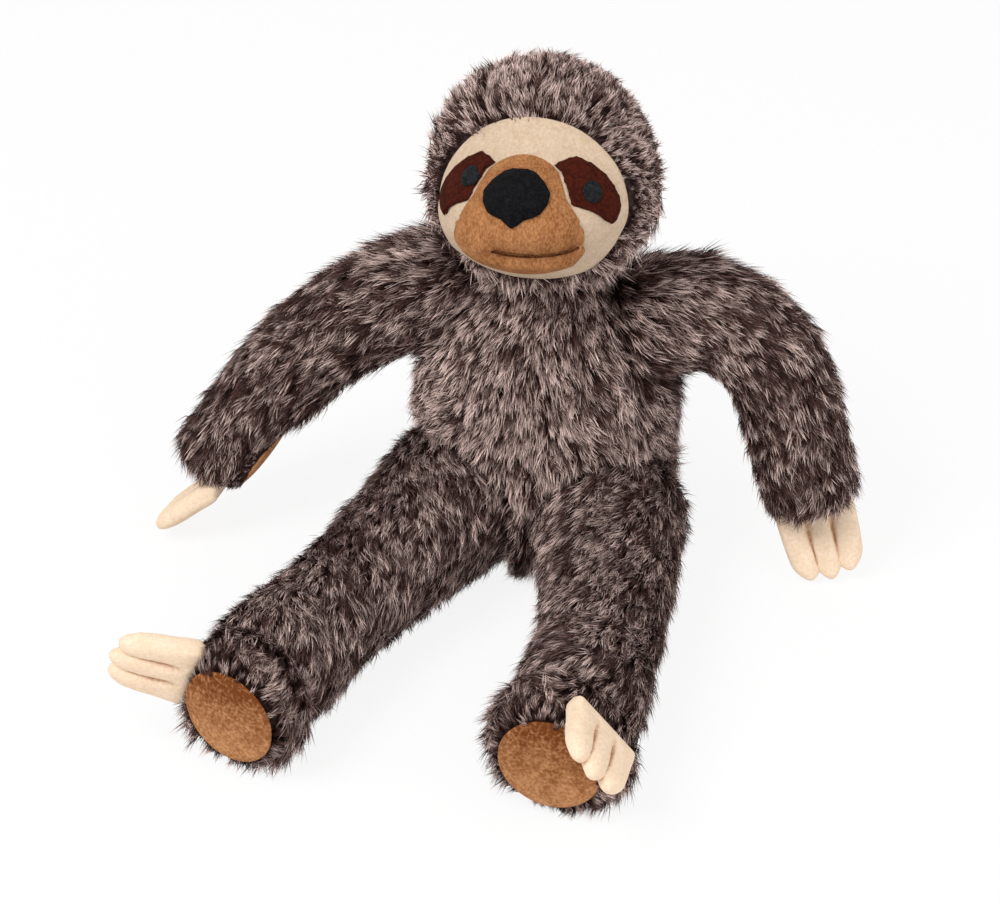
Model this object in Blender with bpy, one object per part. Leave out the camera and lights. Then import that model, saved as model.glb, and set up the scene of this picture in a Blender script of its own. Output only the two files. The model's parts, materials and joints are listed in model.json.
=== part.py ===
"""A seated plush sloth: fur skins round stuffing, a sewn face of short-nap cloth, and padded claws.

The front is -Y, the sloth's own left is +X, up is +Z, and the floor is z = 0 under the seat.
Each skin is a cloth shell, open where it is sewn to its neighbour, with its stuffing inside.
A limb turns on a round root that sits in a socket of the torso, and the head on the domed neck.
"""

from math import acos, asin, atan2, cos, exp, hypot, pi, radians, sin, sqrt, tan

import bmesh
import bpy
from mathutils import Matrix, Vector

MM = 0.001
LEFT, RIGHT = 1, -1
SIDE_NAMES = {LEFT: "left", RIGHT: "right"}
WHOLE = 2 * pi
SQUARE = pi / 2
SHARP_ANGLE = radians(50)

# Cloth, thread and clearances
CLOTH = 2.0 * MM
SHORT_CLOTH = 1.6 * MM
THREAD_RADIUS = 0.9 * MM
SEAM_GAP = 0.3 * MM
STUFFING_GAP = 0.5 * MM
SUNK = 1.2 * MM
ROOT_GAP = 0.3 * MM
FLOOR_GAP = 0.4 * MM
OVERRUN = 12 * MM

# Torso, a barrel with a broad seat that leans back towards the neck
TORSO_WIDTH = 98 * MM
TORSO_DEPTH = 80 * MM
TORSO_HEIGHT = 124 * MM
SEAT_CUT = 0.5 * MM
LEAN_BACK = 14 * MM
WIDEST_SHARE = 0.42
SEAT_FULLNESS = 6
CHEST_FULLNESS = 2.4
TORSO_SIDES = 24
TORSO_RINGS = 11

# Neck, a dome that the head turns on
NECK_RADIUS = 25 * MM
NECK_PIVOT_HEIGHT = 112 * MM
NECK_HOLE_RADIUS = 12 * MM
NECK_RINGS = 3

# Head, an egg with a snout
HEAD_WIDTH = 81 * MM
HEAD_DEPTH = 78 * MM
HEAD_HEIGHT = 82 * MM
HEAD_RISE = 43 * MM
FACE_LIFT = radians(17.7)
HEAD_LEAN = radians(-4.7)
SNOUT_REACH = 19 * MM
SNOUT_SPREAD_ACROSS = radians(32.5)
SNOUT_SPREAD_UP = radians(14.8)
SNOUT_DROP = radians(10.5)
FACE_RINGS = 5
PANEL_RINGS = 8
HOOD_RINGS = 6

# Face, in shares of its half angles across and up
FACE_ACROSS = radians(60)
FACE_UP = radians(49)
FACE_SHARES = (
    (0, 0.82), (0.46, 0.69), (0.78, 0.3), (0.84, -0.09), (0.82, -0.36), (0.71, -0.68), (0.47, -0.99),
)
FACE_CHIN_SHARES = (0, -1.1)
MUZZLE_SHARES = (
    (0, 0.39), (0.15, 0.345), (0.27, 0.22), (0.315, 0.01), (0.39, -0.145), (0.43, -0.36), (0.33, -0.635),
)
MUZZLE_CHIN_SHARES = (0, -0.8)
MUZZLE_CENTRE_SHARES = (0, -0.16)
MUZZLE_PUFF = 2.6 * MM
PATCH_SHARES = (
    (0.22, 0.3), (0.415, 0.4), (0.65, 0.205), (0.745, -0.04),
    (0.73, -0.2), (0.65, -0.29), (0.51, -0.135), (0.345, -0.04),
)
PATCH_CENTRE_SHARES = (0.5, 0.08)
PATCH_EDGE_TOP_SHARE = 0.29
PATCH_EDGE_LOW_SHARE = -0.02
PATCH_PUFF = 1.6 * MM
EYE_CENTRE_SHARES = {LEFT: (0.5, 0.06), RIGHT: (-0.395, 0.155)}
EYE_RADIUS = 3.6 * MM
EYE_PUFF = 1.2 * MM
NOSE_SHARES = ((0, 0.23), (0.1, 0.21), (0.2, 0.065), (0.145, -0.06), (0.06, -0.09))
NOSE_TIP_SHARES = (0, -0.145)
NOSE_CENTRE_SHARES = (0, 0.07)
NOSE_PUFF = 3.0 * MM
MOUTH_SHARES = ((-0.17, -0.37), (-0.03, -0.39), (0.1, -0.405), (0.22, -0.405), (0.32, -0.39), (0.385, -0.36))
THREAD_SIDES = 8
RIM_SHARE = 0.35
OUTLINE_STEPS = 2

# Arms, from the middle of the root to the end of the hand
RIGHT_ARM_LENGTH = 120 * MM
LEFT_ARM_LENGTH = 108 * MM
ARM_LENGTH = {RIGHT: RIGHT_ARM_LENGTH, LEFT: LEFT_ARM_LENGTH}
ARM_ROOT_RADIUS = 21.5 * MM
ARM_RADIUS = 18.5 * MM
HAND_RADIUS = 18 * MM
SHOULDER_HEIGHT = 99 * MM
SHOULDER_INSET = 0.5 * MM
ARM_PLAN_START = {RIGHT: radians(185), LEFT: radians(24)}
ARM_PLAN_END = {RIGHT: radians(210), LEFT: radians(-29)}
ARM_BEND = {RIGHT: radians(38), LEFT: radians(84)}
ARM_SIDES = 12
PALM_FACING_SHARES = {RIGHT: (0.6, -0.2, -0.75), LEFT: (-0.17, 0.8, -0.57)}
PALM_DEPTH = 11.5 * MM
PALM_LENGTH = 30 * MM
PALM_WIDTH = 24 * MM
PALM_SETBACK = 18.5 * MM
PALM_MARGIN = 2 * MM
PALM_FADE = 10 * MM
HAND_STRAIGHT = PALM_SETBACK + PALM_LENGTH / 2 + PALM_MARGIN + PALM_FADE
HAND_CLAW_SET = 5 * MM

# Legs, from the middle of the root to the sole
RIGHT_LEG_LENGTH = 150 * MM
LEFT_LEG_LENGTH = 143 * MM
LEG_LENGTH = {RIGHT: RIGHT_LEG_LENGTH, LEFT: LEFT_LEG_LENGTH}
FOOT_STRAIGHT = 30 * MM
LEG_ROOT_RADIUS = 26.5 * MM
LEG_RADIUS = 18.5 * MM
FOOT_RADIUS = 25.5 * MM
HIP_SPREAD = 31 * MM
HIP_FORWARD = 16 * MM
LEG_PLAN_START = {RIGHT: radians(254), LEFT: radians(-76)}
LEG_PLAN_END = {RIGHT: radians(251), LEFT: radians(-92)}
LEG_SIDES = 14
TOE_FACING_SHARES = {RIGHT: (-0.88, 0.29, 0.38), LEFT: (0.737, -0.142, 0.66)}
TOE_DEPTH = 16 * MM
TOE_FADE = 12 * MM
SOLE_LENGTH = 37 * MM
SOLE_WIDTH = 38 * MM
SOLE_SHIFT = 3 * MM
TOE_SETBACK = 3.5 * MM
LEG_SWING_UP = radians(15)
LEG_SWING_DOWN = radians(70)
SOCKET_SIDES = 16
SOCKET_ARC_STEPS = 6
NOTCH_STEPS = 8
NOTCH_SECTIONS = 4

# Shape that every limb shares
BENT_RINGS = 4
PAW_RINGS = 3
CAP_RINGS = 4
ROOT_RINGS = 3
ANKLE_POWER = 4
ROUTE_STEPS = 24
HALVINGS = 40
MOUTH_ANGLE = radians(38)
CAP_SHARE = 0.62
CAP_FULLNESS = 3.5
PAD_CROWN = 1.0 * MM
PAD_SIDES = 20
PAD_RING_SHARES = ((0.5, 0.75), (0.85, 0.1), (1.0, -0.8))

# Claws, three padded fingers that are sewn as one piece
CLAW_LENGTH = 27 * MM
CLAW_WIDTH = 28 * MM
CLAW_THICKNESS = 6 * MM
CLAW_COUNT = 3
CLAW_STEPS = 4
CLAW_CHANNEL_SHARE = 0.5
CLAW_EDGE_SHARE = 0.3
CLAW_TAPER_SHARE = 0.18
CLAW_NOTCH_SHARE = 0.16
CLAW_ROW_SHARES = (0.0, 0.3, 0.6, 0.84, 1.0)
CLAW_TIP_FULLNESS = 4
ROOT_TURN_STEPS = 2
HAND_CURL = {RIGHT: radians(-17), LEFT: radians(-22)}
FOOT_CURL = {RIGHT: radians(33), LEFT: radians(79)}

FUR_BROWN = (0.145, 0.105, 0.09)
CREAM = (0.85, 0.66, 0.46)
TAN = (0.48, 0.24, 0.10)
CHESTNUT = (0.16, 0.045, 0.025)
BLACK = (0.012, 0.012, 0.014)
STUFFING_WHITE = (0.86, 0.86, 0.83)
SOFT_ROUGHNESS = 0.95
THREAD_ROUGHNESS = 0.6


# Materials

def cloth_material(name, colour, roughness):
    """A plain dull surface of one colour."""
    made = bpy.data.materials.new(name)
    made.use_nodes = True
    shader = made.node_tree.nodes["Principled BSDF"]
    shader.inputs["Base Color"].default_value = (*colour, 1)
    shader.inputs["Roughness"].default_value = roughness
    shader.inputs["Metallic"].default_value = 0
    return made


def make_materials():
    return {
        "fur": cloth_material("fur", FUR_BROWN, SOFT_ROUGHNESS),
        "cream": cloth_material("cream", CREAM, SOFT_ROUGHNESS),
        "tan": cloth_material("tan", TAN, SOFT_ROUGHNESS),
        "chestnut": cloth_material("chestnut", CHESTNUT, SOFT_ROUGHNESS),
        "black_thread": cloth_material("black_thread", BLACK, THREAD_ROUGHNESS),
        "brown_thread": cloth_material("brown_thread", CHESTNUT, THREAD_ROUGHNESS),
        "stuffing": cloth_material("stuffing", STUFFING_WHITE, SOFT_ROUGHNESS),
    }


# Mesh building

def clear_scene():
    for obj in list(bpy.data.objects):
        bpy.data.objects.remove(obj)


def finish_mesh(name, mesh_builder, made_of):
    """Turns a bmesh into a named object with its faces outwards and round sides smooth."""
    bmesh.ops.recalc_face_normals(mesh_builder, faces=mesh_builder.faces)
    mesh = bpy.data.meshes.new(name)
    mesh_builder.to_mesh(mesh)
    mesh_builder.free()
    mesh.shade_smooth()
    mesh.set_sharp_from_angle(angle=SHARP_ANGLE)
    if made_of:
        mesh.materials.append(made_of)
    obj = bpy.data.objects.new(name, mesh)
    bpy.context.scene.collection.objects.link(obj)
    return obj


def ring_solid(name, rings, made_of=None, backward=0):
    """A closed solid through rings of points, where a ring of one point is a pole.

    Every side is split along the same diagonal, so that nested surfaces stay parallel.
    The first rings may run backward: that many of them take the diagonal the other way.
    """
    builder = bmesh.new()
    made = [[builder.verts.new(point) for point in ring] for ring in rings]
    for index, (first, second) in enumerate(zip(made, made[1:])):
        count = max(len(first), len(second))
        for step in range(count):
            after = (step + 1) % count
            corners = [first[step % len(first)], first[after % len(first)]]
            corners += [second[after % len(second)], second[step % len(second)]]
            if index < backward:
                corners = corners[1:] + corners[:1]
            corners = list(dict.fromkeys(corners))
            for third in range(2, len(corners)):
                builder.faces.new((corners[0], corners[third - 1], corners[third]))
    return finish_mesh(name, builder, made_of)


def joint_empty(name, pivot, parent=None):
    """An empty on a joint's axis."""
    empty = bpy.data.objects.new(name, None)
    bpy.context.scene.collection.objects.link(empty)
    empty.parent = parent
    empty.location = pivot - parent.location if parent else pivot
    return empty


def hang(pieces, empty, pivot):
    """Gives pieces their joint as parent and origin, and leaves them where they are."""
    for piece in pieces:
        piece.data.transform(Matrix.Translation(-pivot))
        piece.parent = empty


def hide_cutter(obj):
    obj.hide_render = True
    obj.display_type = "WIRE"
    return obj


def cut(obj, *cutters):
    """Takes each cutter out of an object."""
    for cutter in cutters:
        modifier = obj.modifiers.new(cutter.name, "BOOLEAN")
        modifier.operation = "DIFFERENCE"
        modifier.solver = "EXACT"
        modifier.object = cutter


def turned_cutter(name, centre, profile, sides):
    """A solid turned about X through centre. The profile is (along X, radius), with its ends on the axis."""
    rings = []
    for along, radius in profile:
        spots = range(sides if radius else 1)
        rings.append([
            centre + Vector((along, radius * cos(WHOLE * i / sides), radius * sin(WHOLE * i / sides)))
            for i in spots
        ])
    return hide_cutter(ring_solid(name, rings))


def around(radius, sides):
    """The radius that a faceted cutter needs so that its flats clear a ball of this radius."""
    return radius / cos(pi / sides) ** 2


def ball_profile(radius, steps):
    """Points of half a circle, from one end of its axis to the other."""
    turns = [pi * i / steps for i in range(1, steps)]
    middle = [(-radius * cos(turn), radius * sin(turn)) for turn in turns]
    return [(-radius, 0), *middle, (radius, 0)]


# Torso

def superellipse(share, fullness):
    """The half width, as a share, at a share of the way from the middle to the end."""
    return max(0, 1 - share ** fullness) ** (1 / fullness)


def torso_share(height_share):
    """How wide the torso is at a share of its height, as a share of its widest."""
    if height_share < WIDEST_SHARE:
        return superellipse((WIDEST_SHARE - height_share) / WIDEST_SHARE, SEAT_FULLNESS)
    return superellipse((height_share - WIDEST_SHARE) / (1 - WIDEST_SHARE), CHEST_FULLNESS)


def lean_at(height):
    """How far back the torso's middle lies at this height. It is upright from the neck's pivot on."""
    return LEAN_BACK * min(1, height / NECK_PIVOT_HEIGHT)


def neck_pivot():
    return Vector((0, lean_at(NECK_PIVOT_HEIGHT), NECK_PIVOT_HEIGHT))


def torso_half(height):
    """(height, half width, half depth) of the torso's barrel at a height over the floor."""
    share = torso_share((height + SEAT_CUT) / (TORSO_HEIGHT + SEAT_CUT))
    return height, TORSO_WIDTH / 2 * share, TORSO_DEPTH / 2 * share


def torso_profile():
    """(height, half width, half depth) of each ring from the seat to the top of the neck's dome."""
    rings = [torso_half(0)]
    for i in range(2, TORSO_RINGS + 1):
        turn = SQUARE * (2 * i / (TORSO_RINGS + 1) - 1)
        height = (1 + sin(turn)) / 2 * TORSO_HEIGHT
        if height >= NECK_PIVOT_HEIGHT:
            break
        rings.append(torso_half(height))
    for i in range(NECK_RINGS):
        turn = SQUARE * i / NECK_RINGS
        radius = NECK_RADIUS * cos(turn)
        rings.append((NECK_PIVOT_HEIGHT + NECK_RADIUS * sin(turn), radius, radius))
    return rings


def torso_rings(offset):
    """The torso's rings, moved inwards by the offset along the profile's normal. The seat is flat."""
    profile = torso_profile()
    ends = [(0, 0, 0), *profile, (NECK_PIVOT_HEIGHT + NECK_RADIUS, 0, 0)]
    rings = [[Vector((0, lean_at(0), offset))]]
    for before, here, after in zip(ends, ends[1:], ends[2:]):
        rise = (after[1] - before[1] + after[2] - before[2]) / 2
        slope = Vector((after[0] - before[0], rise)).normalized()
        height = max(here[0] + offset * slope.y, offset)
        inset = offset * slope.x
        ring = []
        for i in range(TORSO_SIDES):
            turn = WHOLE * i / TORSO_SIDES
            across = (here[1] - inset) * cos(turn)
            back = (here[2] - inset) * sin(turn) + lean_at(here[0])
            ring.append(Vector((across, back, height)))
        rings.append(ring)
    rings.append([neck_pivot() + Vector((0, 0, NECK_RADIUS - offset))])
    return rings


def shoulder_pivot(side):
    _height, half_width, _half_depth = torso_half(SHOULDER_HEIGHT)
    return Vector((side * (half_width + SHOULDER_INSET), lean_at(SHOULDER_HEIGHT), SHOULDER_HEIGHT))


def hip_pivot(side):
    return Vector((side * HIP_SPREAD, -HIP_FORWARD, LEG_ROOT_RADIUS + FLOOR_GAP))


def arm_socket(side):
    """The room that an arm sweeps as it turns about X: a ball, then a cone outwards."""
    radius = around(ARM_ROOT_RADIUS + ROOT_GAP, SOCKET_SIDES)
    lean = acos(abs(arm_route(side).heading(0).x))
    start = SQUARE + lean
    arc = [pi + (start - pi) * i / SOCKET_ARC_STEPS for i in range(1, SOCKET_ARC_STEPS + 1)]
    profile = [(-radius, 0)] + [(radius * cos(turn), radius * sin(turn)) for turn in arc]
    reach = TORSO_WIDTH / 2
    profile.append((profile[-1][0] + reach * cos(lean), profile[-1][1] + reach * sin(lean)))
    profile.append((profile[-1][0], 0))
    outwards = [(side * along, away) for along, away in profile]
    return turned_cutter("socket_arm_" + SIDE_NAMES[side], shoulder_pivot(side), outwards, SOCKET_SIDES)


def notch_outline(half_width):
    """(ahead, up) of a leg's room at one place across: round behind the hip, open between up and down."""
    first = SQUARE + LEG_SWING_UP
    last = WHOLE - SQUARE - LEG_SWING_DOWN
    turns = [first + (last - first) * i / NOTCH_STEPS for i in range(NOTCH_STEPS + 1)]
    outline = [(half_width * cos(turn), half_width * sin(turn)) for turn in turns]
    ahead = TORSO_DEPTH
    top, low = outline[0], outline[-1]
    outline.append((low[0] + ahead * cos(LEG_SWING_DOWN), low[1] - ahead * sin(LEG_SWING_DOWN)))
    outline.append((ahead, outline[-1][1]))
    outline.append((ahead, top[1] + (ahead - top[0]) * tan(LEG_SWING_UP)))
    return outline


def leg_notch(side):
    """The room that a leg sweeps as it turns about X. It narrows towards the middle like the root's ball."""
    pivot = hip_pivot(side)
    radius = around(LEG_ROOT_RADIUS + ROOT_GAP, SOCKET_SIDES)
    sections = []
    for i in range(NOTCH_SECTIONS + 1):
        turn = SQUARE * (i + 0.5) / (NOTCH_SECTIONS + 0.5)
        sections.append((-radius * cos(turn), radius * sin(turn)))
    sections.append((TORSO_WIDTH / 2 + OVERRUN, radius))
    builder = bmesh.new()
    rings = []
    for across, half_width in sections:
        outline = [pivot + Vector((side * across, -ahead, up)) for ahead, up in notch_outline(half_width)]
        rings.append([builder.verts.new(spot) for spot in outline])
    builder.faces.new(rings[0])
    builder.faces.new(rings[-1])
    for ring, beyond in zip(rings, rings[1:]):
        for i in range(len(ring)):
            after = (i + 1) % len(ring)
            builder.faces.new((ring[i], ring[after], beyond[after], beyond[i]))
    return hide_cutter(finish_mesh("notch_leg_" + SIDE_NAMES[side], builder, None))


def neck_hole():
    """A short upright cylinder through the dome, where the neck's seam leaves the skins open."""
    low = neck_pivot() + Vector((0, 0, NECK_RADIUS / 2))
    high = neck_pivot() + Vector((0, 0, NECK_RADIUS + OVERRUN))
    rings = [[low]]
    for end in (low, high):
        rings.append([
            end + NECK_HOLE_RADIUS * Vector((cos(WHOLE * i / ARM_SIDES), sin(WHOLE * i / ARM_SIDES), 0))
            for i in range(ARM_SIDES)
        ])
    rings.append([high])
    return hide_cutter(ring_solid("neck_hole", rings))


def make_torso(materials):
    skin = ring_solid("torso_skin", torso_rings(0), materials["fur"])
    filling = ring_solid("torso_filling", torso_rings(CLOTH + STUFFING_GAP), materials["stuffing"])
    hollow = hide_cutter(ring_solid("torso_hollow", torso_rings(CLOTH)))
    sockets = [arm_socket(side) for side in (LEFT, RIGHT)]
    notches = [leg_notch(side) for side in (LEFT, RIGHT)]
    cut(skin, hollow, *sockets, *notches, neck_hole())
    cut(filling, *sockets, *notches)


# Head and face

def head_frame():
    """From the head's own axes, with the face along -Y, to the model's."""
    middle = neck_pivot() + Vector((0, 0, HEAD_RISE))
    turned = Matrix.Rotation(HEAD_LEAN, 4, "Y") @ Matrix.Rotation(-FACE_LIFT, 4, "X")
    return Matrix.Translation(middle) @ turned


def head_direction(across, up):
    """The direction of a point of the face, given by its angles from the face's middle."""
    away = hypot(across, up)
    heading = atan2(up, across)
    return Vector((sin(away) * cos(heading), -cos(away), sin(away) * sin(heading)))


def head_point(across, up, offset):
    """A point in that direction, at an offset from the head's outer surface."""
    direction = head_direction(across, up)
    stretch = Vector((direction.x / HEAD_WIDTH, direction.y / HEAD_DEPTH, direction.z / HEAD_HEIGHT))
    off_across = atan2(direction.x, -direction.y) / SNOUT_SPREAD_ACROSS
    off_up = (asin(direction.z) + SNOUT_DROP) / SNOUT_SPREAD_UP
    snout = SNOUT_REACH * exp(-0.5 * (off_across ** 2 + off_up ** 2))
    return head_frame() @ (direction * (1 / (2 * stretch.length) + snout + offset))


def face_angles(shares):
    return shares[0] * FACE_ACROSS, shares[1] * FACE_UP


def smooth_span(before, here, after, beyond):
    """Points from here up to just before after, on a smooth line through all four."""
    made = []
    for step in range(OUTLINE_STEPS):
        t = step / OUTLINE_STEPS
        bend = 2 * before - 5 * here + 4 * after - beyond
        twist = 3 * here - before - 3 * after + beyond
        made.append(here + 0.5 * t * (after - before + t * bend + t * t * twist))
    return made


def smooth_loop(points):
    """More points on a smooth closed line through these."""
    made = []
    for i in range(len(points)):
        made += smooth_span(*(Vector(points[(i + k) % len(points)]) for k in (-1, 0, 1, 2)))
    return made


def smooth_line(points):
    """More points on a smooth open line through these."""
    spots = [Vector(point) for point in (points[0], *points, points[-1])]
    made = []
    for four in zip(spots, spots[1:], spots[2:], spots[3:]):
        made += smooth_span(*four)
    return [*made, spots[-1]]


def mirrored_outline(right_shares, bottom_shares):
    """A closed outline that is alike on both sides, from its top clockwise."""
    left_shares = [(-x, y) for x, y in reversed(right_shares[1:])]
    shares = [*right_shares, bottom_shares, *left_shares]
    return smooth_loop([face_angles(share) for share in shares])


def patch_solid(name, outline, centre, low, puff, made_of=None, rings=FACE_RINGS):
    """A padded piece of cloth on the face, from the offset low, thinner at its edge."""
    middle = Vector(centre)
    lower = [[head_point(*middle, low)]]
    upper = [[head_point(*middle, low + puff)]]
    for ring in range(1, rings + 1):
        thick = puff * (RIM_SHARE if ring == rings else 1)
        spots = [middle + (spot - middle) * ring / rings for spot in outline]
        lower.append([head_point(*spot, low) for spot in spots])
        upper.append([head_point(*spot, low + thick) for spot in spots])
    return ring_solid(name, lower + upper[::-1], made_of)


def face_outline():
    return mirrored_outline(FACE_SHARES, FACE_CHIN_SHARES)


def muzzle_outline():
    return mirrored_outline(MUZZLE_SHARES, MUZZLE_CHIN_SHARES)


def face_disc(offset):
    """Rings from the middle of the face to its edge."""
    rings = [[head_point(0, 0, offset)]]
    for ring in range(1, PANEL_RINGS + 1):
        rings.append([head_point(*(spot * ring / PANEL_RINGS), offset) for spot in face_outline()])
    return rings


def hood(offset, edge_gap):
    """Rings from the edge of the face, less a gap, to the back of the head."""
    rings = []
    for ring in range(HOOD_RINGS):
        share = ring / HOOD_RINGS
        spots = []
        for spot in face_outline():
            edge = spot.length + edge_gap
            spots.append(spot.normalized() * (edge + (pi - edge) * share))
        rings.append([head_point(*spot, offset) for spot in spots])
    rings.append([head_point(0, pi, offset)])
    return rings


def neck_socket():
    """The ball of room round the torso's dome."""
    radius = around(NECK_RADIUS + ROOT_GAP, TORSO_SIDES)
    return turned_cutter("neck_socket", neck_pivot(), ball_profile(radius, TORSO_SIDES // 2), TORSO_SIDES)


def patch_outline(side):
    """The dark patch round an eye. Its inner edge follows the muzzle's."""
    gap = 4 * SEAM_GAP / HEAD_WIDTH
    high = PATCH_EDGE_TOP_SHARE * FACE_UP
    low = PATCH_EDGE_LOW_SHARE * FACE_UP
    middle = Vector(face_angles(MUZZLE_CENTRE_SHARES))
    inner = [spot for spot in muzzle_outline() if spot.x > 0 and low < spot.y < high]
    inner = [spot + (spot - middle).normalized() * gap for spot in inner]
    free = smooth_line([face_angles(share) for share in PATCH_SHARES])
    return [Vector((side * spot.x, spot.y)) for spot in free + inner[::-1]]


def disc_outline(centre, radius):
    """A round outline on the face, of a real radius."""
    angle = 2 * radius / HEAD_WIDTH
    turns = [WHOLE * i / PAD_SIDES for i in range(PAD_SIDES)]
    return [Vector((centre[0] + angle * cos(turn), centre[1] + angle * sin(turn))) for turn in turns]


def make_mouth(materials, offset):
    """A line of thick thread along the muzzle."""
    line = [Vector(share) for share in MOUTH_SHARES]
    line = [head_point(*face_angles(share), offset) for share in line]
    rings = [[line[0]]]
    for before, here, after in zip([line[0], *line], line, [*line[1:], line[-1]]):
        forward = (after - before).normalized()
        out = square_to(here - head_frame().translation, forward)
        beside = forward.cross(out)
        turns = [WHOLE * i / THREAD_SIDES for i in range(THREAD_SIDES)]
        rings.append([here + THREAD_RADIUS * (out * cos(turn) + beside * sin(turn)) for turn in turns])
    rings.append([line[-1]])
    return ring_solid("mouth_stitch", rings, materials["brown_thread"])


def layer(name, outline, centre, low, puff, made_of, under, rings=FACE_RINGS):
    """A padded piece cut where it meets what lies under it, and the form that cuts the next piece."""
    piece = patch_solid(name, outline, centre, low - SUNK, puff + SUNK, made_of, rings)
    cut(piece, under)
    form = patch_solid(name + "_form", outline, centre, low - SUNK, puff + SUNK + SEAM_GAP, None, rings)
    return piece, hide_cutter(form)


def make_face(materials):
    low = SEAM_GAP
    face_form = hide_cutter(ring_solid("face_form", face_disc(-CLOTH) + face_disc(SEAM_GAP)[::-1]))
    middle = face_angles(MUZZLE_CENTRE_SHARES)
    muzzle, muzzle_form = layer("muzzle", muzzle_outline(), middle, low, MUZZLE_PUFF,
                                materials["tan"], face_form)
    pieces = [muzzle]
    for side in (LEFT, RIGHT):
        named = SIDE_NAMES[side]
        across, up = face_angles(PATCH_CENTRE_SHARES)
        patch, patch_form = layer("eye_patch_" + named, patch_outline(side), (side * across, up), low,
                                  PATCH_PUFF, materials["chestnut"], face_form)
        middle = face_angles(EYE_CENTRE_SHARES[side])
        eye_low = low + PATCH_PUFF + SEAM_GAP
        eye, _form = layer("eye_" + named, disc_outline(middle, EYE_RADIUS), middle, eye_low,
                           EYE_PUFF, materials["black_thread"], patch_form, 2)
        pieces += [patch, eye]
    on_muzzle = low + MUZZLE_PUFF + SEAM_GAP
    nose_outline = mirrored_outline(NOSE_SHARES, NOSE_TIP_SHARES)
    nose, _form = layer("nose", nose_outline, face_angles(NOSE_CENTRE_SHARES), on_muzzle,
                        NOSE_PUFF, materials["black_thread"], muzzle_form, 3)
    mouth = make_mouth(materials, on_muzzle)
    cut(mouth, muzzle_form)
    return [*pieces, nose, mouth]


def make_head(materials):
    edge_gap = 2 * SEAM_GAP / HEAD_WIDTH
    outer = hood(0, edge_gap)
    inner = hood(-CLOTH, edge_gap)
    skin = ring_solid("head_skin", outer[::-1] + inner, materials["fur"], len(outer))
    deep = -CLOTH - STUFFING_GAP
    filling = ring_solid("head_filling", face_disc(deep)[:-1] + hood(deep, 0), materials["stuffing"])
    socket = neck_socket()
    cut(skin, socket)
    cut(filling, socket)
    panel = ring_solid("face_panel", face_disc(-CLOTH) + face_disc(0)[::-1], materials["cream"])
    pieces = [skin, filling, panel, *make_face(materials)]
    hang(pieces, joint_empty("neck_joint", neck_pivot()), neck_pivot())


# Limbs

def heading_of(plan, rise):
    return Vector((cos(plan) * cos(rise), sin(plan) * cos(rise), sin(rise)))


class Route:
    """A limb's middle line. It turns evenly from one heading to another and ends in a straight paw."""

    def __init__(self, pivot, length, straight, plans, rises):
        self.pivot = pivot
        self.length = length
        self.bent = length - straight
        self.plans = plans
        self.rises = rises

    def heading(self, along):
        share = min(1, max(0, along / self.bent))
        plan = self.plans[0] + (self.plans[1] - self.plans[0]) * share
        rise = self.rises[0] + (self.rises[1] - self.rises[0]) * share
        return heading_of(plan, rise)

    def point(self, along):
        if along < 0:
            return self.pivot + self.heading(0) * along
        step = along / ROUTE_STEPS
        spot = self.pivot.copy()
        for i in range(ROUTE_STEPS):
            spot += self.heading((i + 0.5) * step) * step
        return spot

    def end_height(self):
        return self.point(self.length).z


def level_route(pivot, length, straight, plans, bend, wanted_height):
    """The route whose end lies at the wanted height, found by halving the range of its slope."""
    low, high = -SQUARE + bend, SQUARE
    for _ in range(HALVINGS):
        middle = (low + high) / 2
        route = Route(pivot, length, straight, plans, (middle, middle - bend))
        if route.end_height() > wanted_height(route):
            high = middle
        else:
            low = middle
    return route


def arm_route(side):
    """The arm hangs so that the tips of its claws come down to the floor."""
    def wanted(route):
        toe = route.heading(route.length)
        palm = square_to(Vector(PALM_FACING_SHARES[side]), toe)
        length_way, _face_way = curled(toe, palm, HAND_CURL[side])
        root_rise = toe.z * (CLAW_THICKNESS / 2 + SEAM_GAP) + palm.z * HAND_CLAW_SET
        return FLOOR_GAP + CLAW_THICKNESS / 2 - root_rise - CLAW_LENGTH * length_way.z

    plans = (ARM_PLAN_START[side], ARM_PLAN_END[side])
    return level_route(shoulder_pivot(side), ARM_LENGTH[side], HAND_STRAIGHT, plans, ARM_BEND[side], wanted)


def leg_route(side):
    """The leg lies along the floor."""
    def wanted(_route):
        return FLOOR_GAP + FOOT_RADIUS

    plans = (LEG_PLAN_START[side], LEG_PLAN_END[side])
    return level_route(hip_pivot(side), LEG_LENGTH[side], FOOT_STRAIGHT, plans, 0, wanted)


def limb_profile(route, radii):
    """(along, radius) from the open mouth behind the root to the end, with radii at root, middle and paw."""
    root, middle, paw = radii
    profile = []
    for i in range(ROOT_RINGS):
        turn = MOUTH_ANGLE + (SQUARE - MOUTH_ANGLE) * i / ROOT_RINGS
        profile.append((-root * cos(turn), root * sin(turn)))
    cap = CAP_SHARE * paw
    cap_start = route.length - cap
    stations = [route.bent * i / BENT_RINGS for i in range(BENT_RINGS)]
    stations += [route.bent + (cap_start - route.bent) * i / PAW_RINGS for i in range(PAW_RINGS + 1)]
    for along in stations:
        share = along / cap_start
        radius = middle + (root - middle) * (1 - share) ** 2 + (paw - middle) * share ** ANKLE_POWER
        profile.append((along, radius))
    turns = [SQUARE * i / (CAP_RINGS + 1) for i in range(1, CAP_RINGS + 1)]
    power = 2 / CAP_FULLNESS
    for turn in turns:
        share = (sin(turn) / sin(turns[-1])) ** power
        profile.append((cap_start + cap * share, paw * cos(turn) ** power))
    return profile


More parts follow.
